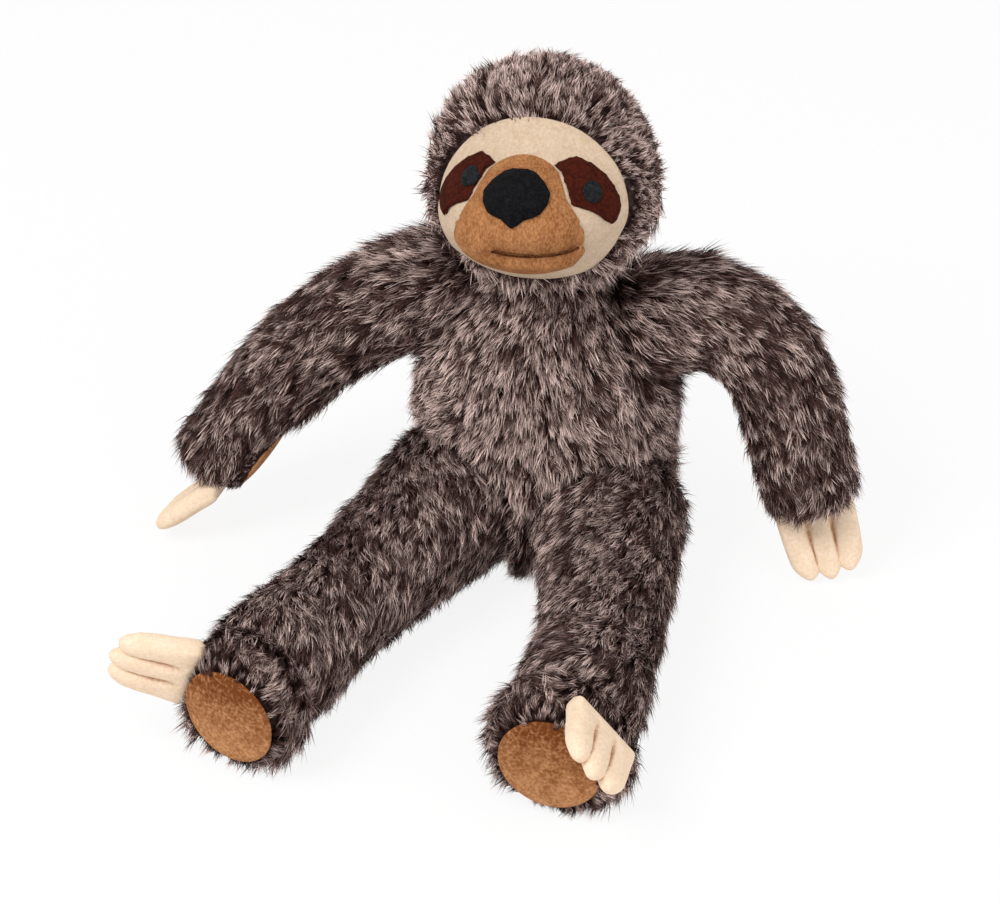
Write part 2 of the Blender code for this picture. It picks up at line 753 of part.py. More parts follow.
def limb_rings(route, radii, sides, flat, offset, closed_root):
    """Rings of a limb moved inwards by the offset, with the paw's one flat side."""
    profile = limb_profile(route, radii)
    root = radii[0]
    start = (-root, 0) if closed_root else (-root * cos(MOUTH_ANGLE / 2), root * sin(MOUTH_ANGLE / 2))
    ends = [start, *profile, (route.length, 0)]
    side_way = route.heading(0).cross(Vector((0, 0, 1))).normalized()
    rings = []
    for before, here, after in zip(ends, ends[1:], ends[2:]):
        slope = Vector((after[0] - before[0], after[1] - before[1])).normalized()
        if here[0] <= 0:
            slope = Vector((here[1], -here[0])).normalized()
        along = here[0] + offset * slope.y
        radius = here[1] - offset * slope.x
        middle, heading = route.point(along), route.heading(along)
        side_way = (side_way - heading * side_way.dot(heading)).normalized()
        other_way = heading.cross(side_way)
        ring = []
        for i in range(sides):
            turn = WHOLE * i / sides
            ring.append(middle + radius * (side_way * cos(turn) + other_way * sin(turn)))
        rings.append([flattened(spot, flat, here[0], offset) for spot in ring])
    rings.append([route.point(route.length - offset)])
    if closed_root:
        rings.insert(0, [route.point(-root + offset)])
    return rings


def flattened(spot, flat, along, offset):
    """The point moved back to a flat if it lies beyond. The flat is full from one station on."""
    middle, normal, full_from, fade = flat
    share = min(1, max(0, 1 - (full_from - along) / fade))
    beyond = (spot - middle).dot(normal) + offset
    return spot - normal * share * max(0, beyond)


def make_limb(name, route, radii, sides, flat, materials, side):
    """A sock of fur cloth, open at its root, and the stuffing in it."""
    named = SIDE_NAMES[side]
    outer = limb_rings(route, radii, sides, flat, 0, False)
    inner = limb_rings(route, radii, sides, flat, CLOTH, False)
    skin = ring_solid(f"{name}_skin_{named}", outer[::-1] + inner, materials["fur"], len(outer))
    core = limb_rings(route, radii, sides, flat, CLOTH + STUFFING_GAP, True)
    return [skin, ring_solid(f"{name}_filling_{named}", core, materials["stuffing"])]


def pad_solid(name, middle, normal, long_way, length, width, made_of):
    """A crowned oval of cloth that lies on a flat of a paw."""
    wide_way = normal.cross(long_way)
    base = middle + normal * SEAM_GAP
    lower, upper = [[base]], [[base + normal * (SHORT_CLOTH + PAD_CROWN)]]
    for share, crown_share in PAD_RING_SHARES:
        height = SHORT_CLOTH + PAD_CROWN * crown_share
        ring = []
        for i in range(PAD_SIDES):
            turn = WHOLE * i / PAD_SIDES
            ring.append(base + share / 2 * (long_way * length * cos(turn) + wide_way * width * sin(turn)))
        lower.append(ring)
        upper.append([spot + normal * height for spot in ring])
    return ring_solid(name, lower + upper[::-1], made_of)


# Claws

def claw_half_thickness(across_share, along_share):
    """Half the thickness. Between two fingers it drops to the stitched channel, and it ends thin."""
    finger = (across_share * CLAW_COUNT) % 1
    crown = sqrt(max(0, 1 - (2 * finger - 1) ** 2))
    rise = min(1, along_share / CLAW_ROW_SHARES[1])
    low_share = 1 - (1 - CLAW_CHANNEL_SHARE) * rise
    share = low_share + (1 - low_share) * crown
    tip = superellipse(along_share, CLAW_TIP_FULLNESS)
    return CLAW_THICKNESS / 2 * max(CLAW_EDGE_SHARE, share * tip)


def claw_rows():
    """(along, half thickness) across the claws, row by row from the round root to the tips."""
    columns = CLAW_COUNT * CLAW_STEPS
    radius = CLAW_THICKNESS / 2
    rows = []
    for i in range(ROOT_TURN_STEPS):
        turn = SQUARE * i / ROOT_TURN_STEPS
        rows.append([(-radius * cos(turn), radius * max(sin(turn), CLAW_EDGE_SHARE))] * (columns + 1))
    for along_share in CLAW_ROW_SHARES:
        row = []
        for column in range(columns + 1):
            finger = (column / CLAW_STEPS) % 1
            notch = CLAW_NOTCH_SHARE * (2 * finger - 1) ** 2
            off_middle = abs(2 * column / columns - 1)
            full = CLAW_LENGTH * (1 - notch - CLAW_TAPER_SHARE * off_middle / 2)
            row.append((full * along_share, claw_half_thickness(column / columns, along_share)))
        rows.append(row)
    return rows


def claws_solid(name, root, length_way, face_way, made_of):
    """Three fingers side by side. The root is half a cylinder about the line through root."""
    wide_way = face_way.cross(length_way)
    columns = CLAW_COUNT * CLAW_STEPS
    builder = bmesh.new()
    edges = []
    for face in (face_way, -face_way):
        sheet = []
        for row in claw_rows():
            made = []
            for column, (along, half) in enumerate(row):
                taper = 1 - CLAW_TAPER_SHARE * (along / CLAW_LENGTH) ** 2
                across = CLAW_WIDTH * (column / columns - 0.5) * taper
                made.append(builder.verts.new(root + length_way * along + wide_way * across + face * half))
            sheet.append(made)
        for row, after in zip(sheet, sheet[1:]):
            for i in range(columns):
                builder.faces.new((row[i], row[i + 1], after[i + 1], after[i]))
        down = [row[0] for row in sheet[:-1]]
        back = [row[-1] for row in sheet[-2:0:-1]]
        edges.append(down + sheet[-1] + back + sheet[0][:0:-1])
    upper, lower = edges
    for i in range(len(upper)):
        after = (i + 1) % len(upper)
        builder.faces.new((upper[i], upper[after], lower[after], lower[i]))
    return finish_mesh(name, builder, made_of)


def square_to(vector, axis):
    """The unit vector nearest to a vector that is square to an axis."""
    return (vector - axis * vector.dot(axis)).normalized()


def curled(toe, pad, curl):
    """The claws' length and face once they are curled from the toes towards the pad."""
    return toe * cos(curl) + pad * sin(curl), pad * cos(curl) - toe * sin(curl)


def hand_frame(side):
    """(end of the arm, way the fingers point, way the palm faces)."""
    route = arm_route(side)
    toe = route.heading(route.length)
    palm = square_to(Vector(PALM_FACING_SHARES[side]), toe)
    return route.point(route.length), toe, palm


def foot_frame(side):
    """(middle of the sole, way the toes point, way the sole faces)."""
    route = leg_route(side)
    sole = route.heading(route.length)
    toe = square_to(Vector(TOE_FACING_SHARES[side]), sole)
    return route.point(route.length), toe, sole


def make_arm(side, materials):
    named = SIDE_NAMES[side]
    end, toe, palm = hand_frame(side)
    palm_middle = end - toe * PALM_SETBACK + palm * PALM_DEPTH
    flat = (palm_middle, palm, ARM_LENGTH[side] - HAND_STRAIGHT + PALM_FADE, PALM_FADE)
    radii = (ARM_ROOT_RADIUS, ARM_RADIUS, HAND_RADIUS)
    pieces = make_limb("arm", arm_route(side), radii, ARM_SIDES, flat, materials, side)
    pad = pad_solid("palm_pad_" + named, palm_middle, palm, toe, PALM_LENGTH, PALM_WIDTH, materials["tan"])
    length_way, face_way = curled(toe, palm, HAND_CURL[side])
    root = end + toe * (CLAW_THICKNESS / 2 + SEAM_GAP) + palm * HAND_CLAW_SET
    claws = claws_solid("hand_claws_" + named, root, length_way, face_way, materials["cream"])
    shoulder = joint_empty("shoulder_joint_" + named, shoulder_pivot(side))
    hang([*pieces, pad], shoulder, shoulder_pivot(side))
    hang([claws], joint_empty("hand_seam_" + named, root, shoulder), root)


def make_leg(side, materials):
    named = SIDE_NAMES[side]
    sole_middle, toe, sole = foot_frame(side)
    toe_middle = sole_middle + toe * TOE_DEPTH
    flat = (toe_middle, toe, LEG_LENGTH[side] - TOE_SETBACK - CLAW_THICKNESS, TOE_FADE)
    radii = (LEG_ROOT_RADIUS, LEG_RADIUS, FOOT_RADIUS)
    pieces = make_limb("leg", leg_route(side), radii, LEG_SIDES, flat, materials, side)
    pad_middle = sole_middle - toe * SOLE_SHIFT
    pad = pad_solid("sole_pad_" + named, pad_middle, sole, toe, SOLE_LENGTH, SOLE_WIDTH, materials["tan"])
    length_way, face_way = curled(toe, sole, FOOT_CURL[side])
    root = toe_middle + toe * (CLAW_THICKNESS / 2 + SEAM_GAP) - sole * TOE_SETBACK
    claws = claws_solid("foot_claws_" + named, root, length_way, face_way, materials["cream"])
    hip = joint_empty("hip_joint_" + named, hip_pivot(side))
    hang([*pieces, pad], hip, hip_pivot(side))
    hang([claws], joint_empty("foot_seam_" + named, root, hip), root)


def main():
    clear_scene()
    materials = make_materials()
    make_torso(materials)
    make_head(materials)
    for side in (LEFT, RIGHT):
        make_arm(side, materials)
        make_leg(side, materials)


main()
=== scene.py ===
"""Looks of a seated plush sloth: shaggy frosted pile, a sewn face of short nap, padded claws."""

import json
import random
from math import cos, pi, radians, sin

import bmesh
import bpy
import numpy as np
from mathutils import Matrix, Vector


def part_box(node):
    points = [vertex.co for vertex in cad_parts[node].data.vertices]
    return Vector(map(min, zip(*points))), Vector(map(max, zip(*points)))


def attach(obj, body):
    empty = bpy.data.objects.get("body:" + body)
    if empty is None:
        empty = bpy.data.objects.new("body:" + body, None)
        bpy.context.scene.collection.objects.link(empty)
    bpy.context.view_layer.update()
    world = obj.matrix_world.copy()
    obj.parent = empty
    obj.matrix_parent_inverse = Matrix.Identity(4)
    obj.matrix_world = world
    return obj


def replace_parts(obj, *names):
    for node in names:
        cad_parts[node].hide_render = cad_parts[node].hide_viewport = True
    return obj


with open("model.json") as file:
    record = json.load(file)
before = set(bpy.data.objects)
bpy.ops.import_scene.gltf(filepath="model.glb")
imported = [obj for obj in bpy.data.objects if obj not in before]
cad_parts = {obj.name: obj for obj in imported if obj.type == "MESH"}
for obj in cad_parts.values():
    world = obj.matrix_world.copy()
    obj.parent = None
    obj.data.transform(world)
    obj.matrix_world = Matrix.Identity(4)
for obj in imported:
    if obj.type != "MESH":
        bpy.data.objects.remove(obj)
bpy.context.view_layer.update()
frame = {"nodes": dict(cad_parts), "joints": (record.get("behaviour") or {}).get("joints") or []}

# Shaggy pile
# Knitted backing cloth with long acrylic fibres, dark at the root and frosted at the tip; the roots
# also carry painted shade from deep in the pile. They are brushed one way and stand in small locks,
# so each lock is made once and planted many times.

MM = 0.001


class Socket:
    """A node's socket. Arithmetic on it adds the Math nodes that it stands for."""

    def __init__(self, nodes, socket):
        self.nodes = nodes
        self.socket = socket

    def maths(self, operation, *terms):
        return self.nodes.add("ShaderNodeMath", dict(enumerate(terms)), operation=operation)

    def __add__(self, other):
        return self.maths("ADD", self, other)

    def __radd__(self, other):
        return self.maths("ADD", other, self)

    def __sub__(self, other):
        return self.maths("SUBTRACT", self, other)

    def __rsub__(self, other):
        return self.maths("SUBTRACT", other, self)

    def __mul__(self, other):
        return self.maths("MULTIPLY", self, other)

    def __rmul__(self, other):
        return self.maths("MULTIPLY", other, self)

    def at_least(self, other):
        return self.maths("MAXIMUM", self, other)


class Nodes:
    """A node tree that is filled by one method."""

    def __init__(self, tree):
        self.tree = tree

    def add(self, kind, values=None, output=0, **settings):
        """Makes a node: its settings, then its sockets' values or links. Returns one output."""
        node = self.tree.nodes.new(kind)
        for name, setting in settings.items():
            if name == "stops":
                ramp = node.color_ramp.elements
                while len(ramp) < len(setting):
                    ramp.new(1)
                for stop, (place, colour) in zip(ramp, setting):
                    stop.position = place
                    stop.color = (*colour, 1)
            else:
                setattr(node, name, setting)
        for key, value in (values or {}).items():
            named = next((each for each in node.inputs if each.identifier == key), None)
            socket = named or node.inputs[key]
            if isinstance(value, Socket):
                self.tree.links.new(value.socket, socket)
            else:
                socket.default_value = value
        named = next((each for each in node.outputs if each.identifier == output), None)
        return Socket(self, named or node.outputs[output]) if node.outputs else None

    def mix(self, share, first, second):
        """A colour between two colours."""
        return self.add("ShaderNodeMix", {"Factor_Float": share, "A_Color": first,
                                          "B_Color": second}, "Result_Color", data_type="RGBA")


def surface(name, roughness, specular):
    """A new material: (material, its nodes, its shader node)."""
    material = bpy.data.materials.new(name)
    material.use_nodes = True
    shader = material.node_tree.nodes["Principled BSDF"]
    shader.inputs["Roughness"].default_value = roughness
    shader.inputs["Specular IOR Level"].default_value = specular
    return material, Nodes(material.node_tree), shader


def finish_surface(nodes, shader, colour, bump_height=None, bump_depth=0.0, bump_strength=1.0):
    """Links a colour and a bump height to a shader."""
    nodes.tree.links.new(colour.socket, shader.inputs["Base Color"])
    if bump_height:
        bump = nodes.add("ShaderNodeBump", {"Height": bump_height, "Distance": bump_depth,
                                            "Strength": bump_strength})
        nodes.tree.links.new(bump.socket, shader.inputs["Normal"])


# Colours along a fibre, from its root to its tip: (place, colour). The near-black root end is
# partly the fibres' own dark base and partly painted shade deep between the locks.
PILE_ROOT_AND_SHADE = (0.006, 0.0028, 0.0022)
PILE_MIDDLE = (0.026, 0.0105, 0.0085)
PILE_BROWN = (0.082, 0.034, 0.027)
PILE_TIP_DARK = (0.120, 0.058, 0.048)
PILE_TIP_FROSTED = (0.98, 0.75, 0.68)
DARK_FIBRE = ((0.1, PILE_ROOT_AND_SHADE), (0.5, PILE_MIDDLE), (0.8, PILE_BROWN), (1.0, PILE_TIP_DARK))
FROSTED_FIBRE = ((0.05, PILE_ROOT_AND_SHADE), (0.32, PILE_MIDDLE), (0.5, PILE_BROWN),
                 (0.8, PILE_TIP_FROSTED))
BACKING_BROWN = (0.026, 0.012, 0.0095)
MOTTLE = 0.6
MOTTLE_SCALE = 160.0
KNIT_SCALE = 900.0
KNIT_DEPTH = 0.4 * MM


def pile_material():
    """Fibres: the map's first number is a fibre's frosting, and the second runs root to tip."""
    material, nodes, shader = surface("frosted_pile", roughness=0.7, specular=0.12)
    place = nodes.add("ShaderNodeUVMap", uv_map="OFBake")
    frosting = nodes.add("ShaderNodeSeparateXYZ", {0: place}, "X")
    along = nodes.add("ShaderNodeSeparateXYZ", {0: place}, "Y")
    dark = nodes.add("ShaderNodeValToRGB", {0: along}, stops=DARK_FIBRE)
    frosted = nodes.add("ShaderNodeValToRGB", {0: along}, stops=FROSTED_FIBRE)
    finish_surface(nodes, shader, nodes.mix(frosting, dark, frosted))
    return material


def backing_material():
    """Knitted backing: dark, a little uneven, with a fine knit."""
    material, nodes, shader = surface("pile_backing", roughness=0.95, specular=0.25)
    place = nodes.add("ShaderNodeTexCoord", output="Object")
    patches = nodes.add("ShaderNodeTexNoise", {"Vector": place, "Scale": MOTTLE_SCALE,
                                               "Detail": 3.0})
    knit = nodes.add("ShaderNodeTexVoronoi", {"Vector": place, "Scale": KNIT_SCALE})
    colour = nodes.mix(patches * MOTTLE, (*BACKING_BROWN, 1), (*PILE_MIDDLE, 1))
    finish_surface(nodes, shader, colour, knit, KNIT_DEPTH, bump_strength=0.6)
    return material


def new_object(name, mesh, material=None):
    """An object at the origin, linked to the scene."""
    made = bpy.data.objects.new(name, mesh)
    bpy.context.scene.collection.objects.link(made)
    if material:
        mesh.materials.clear()
        mesh.materials.append(material)
    return made


def settled(obj):
    """Turns what an object's modifiers give into its own mesh, and drops the modifiers."""
    graph = bpy.context.evaluated_depsgraph_get()
    mesh = bpy.data.meshes.new_from_object(
        obj.evaluated_get(graph), preserve_all_data_layers=True, depsgraph=graph)
    old = obj.data
    obj.modifiers.clear()
    obj.data = mesh
    bpy.data.meshes.remove(old)


WELD_REACH = 0.01 * MM


def node_mesh(name):
    """The mesh of a node of the frame, which is only read or copied."""
    return frame["nodes"][name].data


def copy_of(names):
    """One mesh from copies of the frame's nodes, with its loose triangles joined."""
    builder = bmesh.new()
    for name in names:
        builder.from_mesh(node_mesh(name))
    bmesh.ops.remove_doubles(builder, verts=builder.verts, dist=WELD_REACH)
    mesh = bpy.data.meshes.new(names[0] + "_copy")
    builder.to_mesh(mesh)
    builder.free()
    return mesh


def coordinates(mesh):
    spots = np.empty(len(mesh.vertices) * 3, np.float32)
    mesh.vertices.foreach_get("co", spots)
    return spots.reshape(-1, 3)


def normals_of(mesh):
    ways = np.empty(len(mesh.vertices) * 3, np.float32)
    mesh.vertex_normals.foreach_get("vector", ways)
    return ways.reshape(-1, 3)


def move_to(mesh, spots):
    mesh.vertices.foreach_set("co", spots.ravel())


BACKING_VOXEL = 2.6 * MM
BACKING_INSET = 1.4 * MM
BACKING_SMOOTHING = 4


def backing_cloth(name, nodes):
    """The backing of one body: its solids as one soft skin, a little inside their faces."""
    cloth = new_object(name, copy_of(nodes))
    remesh = cloth.modifiers.new("weld", "REMESH")
    remesh.mode = "VOXEL"
    remesh.voxel_size = BACKING_VOXEL
    smooth = cloth.modifiers.new("soften", "SMOOTH")
    smooth.iterations = BACKING_SMOOTHING
    settled(cloth)
    move_to(cloth.data, coordinates(cloth.data) - BACKING_INSET * normals_of(cloth.data))
    cloth.data.update()
    cloth.data.shade_smooth()
    cloth.data.materials.clear()
    cloth.data.materials.append(BACKING)
    return cloth


PILE_SEED = 7
PILE_LENGTH = 11.5 * MM
FIBRE_LENGTHS = (0.5, 1.0)
FIBRE_WIDTH = 0.38 * MM
FIBRE_SHADES = 0.35
FIBRE_STRAY = 1.6 * MM
FIBRE_ROLL = 0.9
ROOT_LEAN = radians(40)
ROOT_LEAN_STRAY = (-0.25, 0.25)
TIP_LEAN = radians(110)
TIP_LEAN_STRAY = (-0.4, 0.25)
LOCK_FIBRES = 15
LOCK_SPREAD = 1.5 * MM
LOCK_DEPTH = 0.4 * MM
LOCK_CLOSING = 0.3
# Three places along a fibre, and its share of the full width there.
FIBRE_ROWS = ((0, 1), (0.5, 0.85), (1, 0))


def lock_of_fibres(shape):
    """One lock: fibres that lean over from +Z towards +X and draw together at their tips."""
    chance = random.Random(PILE_SEED + shape)
    builder = bmesh.new()
    along_layer = builder.verts.layers.float.new("along")
    across_layer = builder.verts.layers.float.new("across")
    shade_layer = builder.verts.layers.float.new("shade")
    for _ in range(LOCK_FIBRES):
        turn = chance.uniform(0, 2 * pi)
        away = LOCK_SPREAD * chance.uniform(0, 1) ** 0.5
        root = Vector((away * cos(turn), away * sin(turn), -LOCK_DEPTH))
        length = PILE_LENGTH * chance.uniform(*FIBRE_LENGTHS)
        shade = chance.uniform(-FIBRE_SHADES, FIBRE_SHADES)
        lean = ROOT_LEAN + chance.uniform(*ROOT_LEAN_STRAY)
        last_lean = TIP_LEAN + chance.uniform(*TIP_LEAN_STRAY)
        drift = Vector((0, chance.uniform(-FIBRE_STRAY, FIBRE_STRAY), 0))
        drift = drift - Vector((root.x, root.y, 0)) * LOCK_CLOSING
        kink = Vector((0, chance.uniform(-FIBRE_STRAY, FIBRE_STRAY) / 2, 0))
        roll = chance.uniform(-FIBRE_ROLL, FIBRE_ROLL)
        rows = []
        for along, width_share in FIBRE_ROWS:
            bend = lean + (last_lean - lean) * along / 2
            spot = root + length * along * Vector((sin(bend), 0, cos(bend))) + drift * along ** 1.5
            spot += kink * (along == 0.5)
            upright = Vector((-cos(bend), 0, sin(bend)))
            side = (Vector((0, cos(roll), 0)) + upright * sin(roll)) * FIBRE_WIDTH * width_share / 2
            row = []
            for across in ((-1, 1) if width_share else (0,)):
                vert = builder.verts.new(spot + side * across)
                vert[along_layer] = along
                vert[across_layer] = across
                vert[shade_layer] = shade
                row.append(vert)
            rows.append(row)
        first, second, tip = rows
        faces = [builder.faces.new((first[0], first[1], second[1], second[0]))]
        faces.append(builder.faces.new((second[0], second[1], tip[0])))
        for face in faces:
            face.smooth = True
    mesh = bpy.data.meshes.new(f"lock_{shape}")
    builder.to_mesh(mesh)
    builder.free()
    return bpy.data.objects.new(f"lock_{shape}", mesh)


LOCK_SHAPES = 6
LOCKS_PER_MM2 = 0.32
LOCK_SPACING = 0.9 * MM
LOCK_JITTER = 0.25
LOCK_TWIST = 1.4
LOCK_SIZES = (0.8, 1.08)
LOCK_CONTRAST = 0.8
CLOUD_CONTRAST = 3.4
CLOUD_SCALE = 125.0
SWAY = 2.2
SWAY_SCALE = 70.0
MAP_MARGIN = 0.02
MAP_FIBRE_HALF = 0.01
FLOOR_CLEARANCE = 0.2 * MM


def pile_tree():
    """Plants locks on a cloth that carries its attributes: cover, comb, pile, frost and stand."""
    tree = bpy.data.node_groups.new("plant_pile", "GeometryNodeTree")
    nodes = Nodes(tree)
    sockets = {
        "Cloth": ("NodeSocketGeometry", None),
        "Locks": ("NodeSocketCollection", None),
        "Fibres": ("NodeSocketMaterial", None),
        "Density": ("NodeSocketFloat", LOCKS_PER_MM2 / MM ** 2),
        "Spacing": ("NodeSocketFloat", LOCK_SPACING),
        "Jitter": ("NodeSocketFloat", LOCK_JITTER),
        "Seed": ("NodeSocketInt", 0),
    }
    for name, (kind, value) in sockets.items():
        made = tree.interface.new_socket(name, in_out="INPUT", socket_type=kind)
        if value is not None:
            made.default_value = value
    tree.interface.new_socket("Pile", in_out="OUTPUT", socket_type="NodeSocketGeometry")
    given = {name: nodes.add("NodeGroupInput", output=i) for i, name in enumerate(sockets)}

    def attribute(name, kind="FLOAT"):
        return nodes.add("GeometryNodeInputNamedAttribute", {"Name": name}, "Attribute",
                         data_type=kind)

    def chance(low, high, offset):
        return nodes.add("FunctionNodeRandomValue", {
            "Min_001": low, "Max_001": high, "Seed": given["Seed"] + offset,
        }, "Value_001", data_type="FLOAT")

    # Where the locks stand, and the way each one leans.
    scatter = nodes.add("GeometryNodeDistributePointsOnFaces", {
        "Mesh": given["Cloth"], "Distance Min": given["Spacing"], "Density Max": given["Density"],
        "Density Factor": attribute("cover"), "Seed": given["Seed"],
    }, "Points", distribute_method="POISSON")
    normal = Socket(nodes, scatter.socket.node.outputs["Normal"])
    place = nodes.add("GeometryNodeInputPosition")
    sway = nodes.add("ShaderNodeTexNoise", {"Vector": place, "Scale": SWAY_SCALE,
                                            "Detail": 2.0}, "Color")
    sway = nodes.add("ShaderNodeVectorMath", {0: sway, 1: (0.5, 0.5, 0.5)}, operation="SUBTRACT")
    sway = nodes.add("ShaderNodeVectorMath", {0: sway, "Scale": SWAY}, operation="SCALE")
    comb = nodes.add("ShaderNodeVectorMath", {0: attribute("comb", "FLOAT_VECTOR"), 1: sway},
                     operation="ADD")
    stance = nodes.add("FunctionNodeAxesToRotation", {
        "Primary Axis": normal, "Secondary Axis": comb}, primary_axis="Z", secondary_axis="X")
    tilt = nodes.add("ShaderNodeCombineXYZ", {
        "X": chance(-1.0, 1.0, 1) * given["Jitter"],
        "Y": chance(-1.0, 1.0, 2) * given["Jitter"] - attribute("stand"),
        "Z": chance(-1.0, 1.0, 3) * given["Jitter"] * LOCK_TWIST,
    })
    tilt = nodes.add("FunctionNodeEulerToRotation", {0: tilt})
    stance = nodes.add("FunctionNodeRotateRotation", {"Rotation": stance, "Rotate By": tilt},
                       rotation_space="LOCAL")
    locks = nodes.add("GeometryNodeCollectionInfo", {
        "Collection": given["Locks"], "Separate Children": True, "Reset Children": True})
    planted = nodes.add("GeometryNodeInstanceOnPoints", {
        "Points": scatter, "Instance": locks, "Pick Instance": True, "Rotation": stance,
        "Scale": attribute("pile") * chance(*LOCK_SIZES, 4),
    })
    # The frosting goes into the fibres' map: by clouds, by locks, then by single fibres.
    cloud = nodes.add("ShaderNodeTexNoise", {"Vector": place, "Scale": CLOUD_SCALE,
                                             "Detail": 3.0})
    frosting = attribute("frost") + (cloud - 0.5) * CLOUD_CONTRAST
    toned = nodes.add("GeometryNodeStoreNamedAttribute", {
        "Geometry": planted, "Name": "tone",
        "Value": frosting + chance(-LOCK_CONTRAST, LOCK_CONTRAST, 5),
    }, data_type="FLOAT", domain="INSTANCE")
    grown = nodes.add("GeometryNodeRealizeInstances", {0: toned})
    shade = nodes.add("ShaderNodeClamp", {
        "Value": attribute("tone") + attribute("shade"), "Min": MAP_MARGIN, "Max": 1 - MAP_MARGIN})
    map_place = nodes.add("ShaderNodeCombineXYZ", {
        "X": shade + attribute("across") * MAP_FIBRE_HALF,
        "Y": attribute("along") * (1 - MAP_MARGIN) + MAP_MARGIN / 2})
    mapped = nodes.add("GeometryNodeStoreNamedAttribute", {
        "Geometry": grown, "Name": "OFBake", "Value": map_place,
    }, data_type="FLOAT2", domain="CORNER")
    # No fibre goes through the floor.
    across, deep, height = (nodes.add("ShaderNodeSeparateXYZ", {0: place}, axis) for axis in "XYZ")
    over_floor = nodes.add("ShaderNodeCombineXYZ", {
        "X": across, "Y": deep, "Z": height.at_least(FLOOR_CLEARANCE)})
    lifted = nodes.add("GeometryNodeSetPosition", {"Geometry": mapped, "Position": over_floor})
    dyed = nodes.add("GeometryNodeSetMaterial", {"Geometry": lifted, "Material": given["Fibres"]})
    nodes.add("NodeGroupOutput", {0: dyed})
    return tree


PILE = pile_material()
BACKING = backing_material()
PILE_TREE = pile_tree()
LOCKS = bpy.data.collections.new("locks")
for lock_shape in range(LOCK_SHAPES):
    LOCKS.objects.link(lock_of_fibres(lock_shape))


def unit(ways):
    return ways / np.maximum(np.linalg.norm(ways, axis=1, keepdims=True), 1e-9)


def set_attribute(mesh, name, values, kind="FLOAT"):
    made = mesh.attributes.new(name, kind, "POINT")
    field = "vector" if kind == "FLOAT_VECTOR" else "value"
    made.data.foreach_set(field, np.asarray(values, np.float32).ravel())


def brush(cloth, comb, cover, length, frost, stand=0.0, firm=0.0):
    """Gives a cloth the way its pile is brushed, where it grows, how long, pale and upright.

    The firmer it is brushed, the less it sways.
    """
    for name, values in (("cover", cover), ("pile", length), ("frost", frost), ("stand", stand)):
        set_attribute(cloth.data, name, np.broadcast_to(values, len(cloth.data.vertices)))
    firmness = np.broadcast_to(1 + np.asarray(firm), len(comb))
    set_attribute(cloth.data, "comb", unit(comb) * firmness[:, None], "FLOAT_VECTOR")


def socket_name(tree, name):
    return next(item.identifier for item in tree.interface.items_tree if item.name == name)


def grow_pile(name, cloth, body, seed, keep=None):
    """Plants the locks on a cloth, or on the faces of it that keep chooses by their middle."""
    ground = new_object(name, cloth.data.copy())
    if keep:
        builder = bmesh.new()
        builder.from_mesh(ground.data)
        unwanted = [face for face in builder.faces if not keep(face.calc_center_median())]
        bmesh.ops.delete(builder, geom=unwanted, context="FACES")
        builder.to_mesh(ground.data)
        builder.free()
    planting = ground.modifiers.new("pile", "NODES")
    planting.node_group = PILE_TREE
    for socket, value in (("Locks", LOCKS), ("Fibres", PILE), ("Seed", seed)):
        planting[socket_name(PILE_TREE, socket)] = value
    settled(ground)
    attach(ground, body)


def dress(cloth, body, *nodes):
    """The backing stands for the body's solids and rides with it."""
    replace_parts(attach(cloth, body), *nodes)


# Torso
# A stuffed barrel of pile cloth, paler on the belly, brushed down and outwards from the chest.
# Where a limb's ball or the neck sits on it the cloth is bare, since nothing shows there.

SIDES = ("left", "right")
SHOULDER_BARE = 22 * MM
HIP_BARE = 19 * MM
NECK_BARE = 26 * MM
BARE_FADE = 2 * MM
NECK_FACING = 0.75
JOINTS = {each["name"]: each for each in frame["joints"]}


def pivot(name):
    return np.array(JOINTS[name]["pos_m"], np.float32)


def near(spots, point, radius, fade):
    """1 up to a radius round a point, 0 past radius plus fade."""
    away = np.linalg.norm(spots - np.array(point), axis=1)
    return np.clip((radius + fade - away) / fade, 0, 1)


def share_of(values):
    """Values held between 0 and 1."""
    return np.clip(values, 0, 1)


SIDE_REACH = 30 * MM


def leftwards(spots):
    """From -1 on the sloth's right to 1 on its left."""
    return np.clip(spots[:, 0] / SIDE_REACH, -1, 1)


# Heights as shares of the torso's, and how strongly the pile is brushed out there.
SEAT_TOP = 0.15
SEAT_SPREAD = 20
SEAT_LENGTH = 0.35
LAP_TOP = 0.35
LAP_SPREAD = 50
LAP_LEAN = 1.3
CHEST_SPREAD = 22
TORSO_OUT = 0.25
# Frosting, and how much more the belly and how much less the sloth's left has.
TORSO_FROST = 0.56
BELLY_FROST = 0.27
LEFT_FROST = 0.19
# The belly's pale part fades round the sides, up from the seat and below the neck.
BELLY_TURN = 1.5
BELLY_RISE = 3
BELLY_TOP = 0.9
BELLY_FADE = 0.3
NECK_LEAST = 0.1

torso = backing_cloth("torso_cloth", ["torso_skin", "torso_filling"])
spots = coordinates(torso.data)
facing = normals_of(torso.data)
low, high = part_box("torso_skin")
rise = (spots[:, 2] - low.z) / (high.z - low.z)
lap = share_of((LAP_TOP - rise) / LAP_TOP)
sideways = spots[:, 0] * (CHEST_SPREAD + LAP_SPREAD * lap) - LAP_LEAN * lap
comb = np.stack([sideways, TORSO_OUT * facing[:, 1], -np.ones(len(spots))], axis=1)
seat = share_of((SEAT_TOP - rise) / SEAT_TOP)[:, None]
outwards = np.stack([spots[:, 0], spots[:, 1], np.zeros(len(spots))], axis=1)
comb = comb * (1 - seat) + seat * outwards * SEAT_SPREAD
bare = sum(near(spots, pivot("shoulder_" + side), SHOULDER_BARE, BARE_FADE) for side in SIDES)
bare += sum(near(spots, pivot("hip_" + side), HIP_BARE, BARE_FADE) for side in SIDES)
bare += near(spots, pivot("neck_nod"), NECK_BARE, BARE_FADE) * (facing[:, 2] > NECK_FACING)
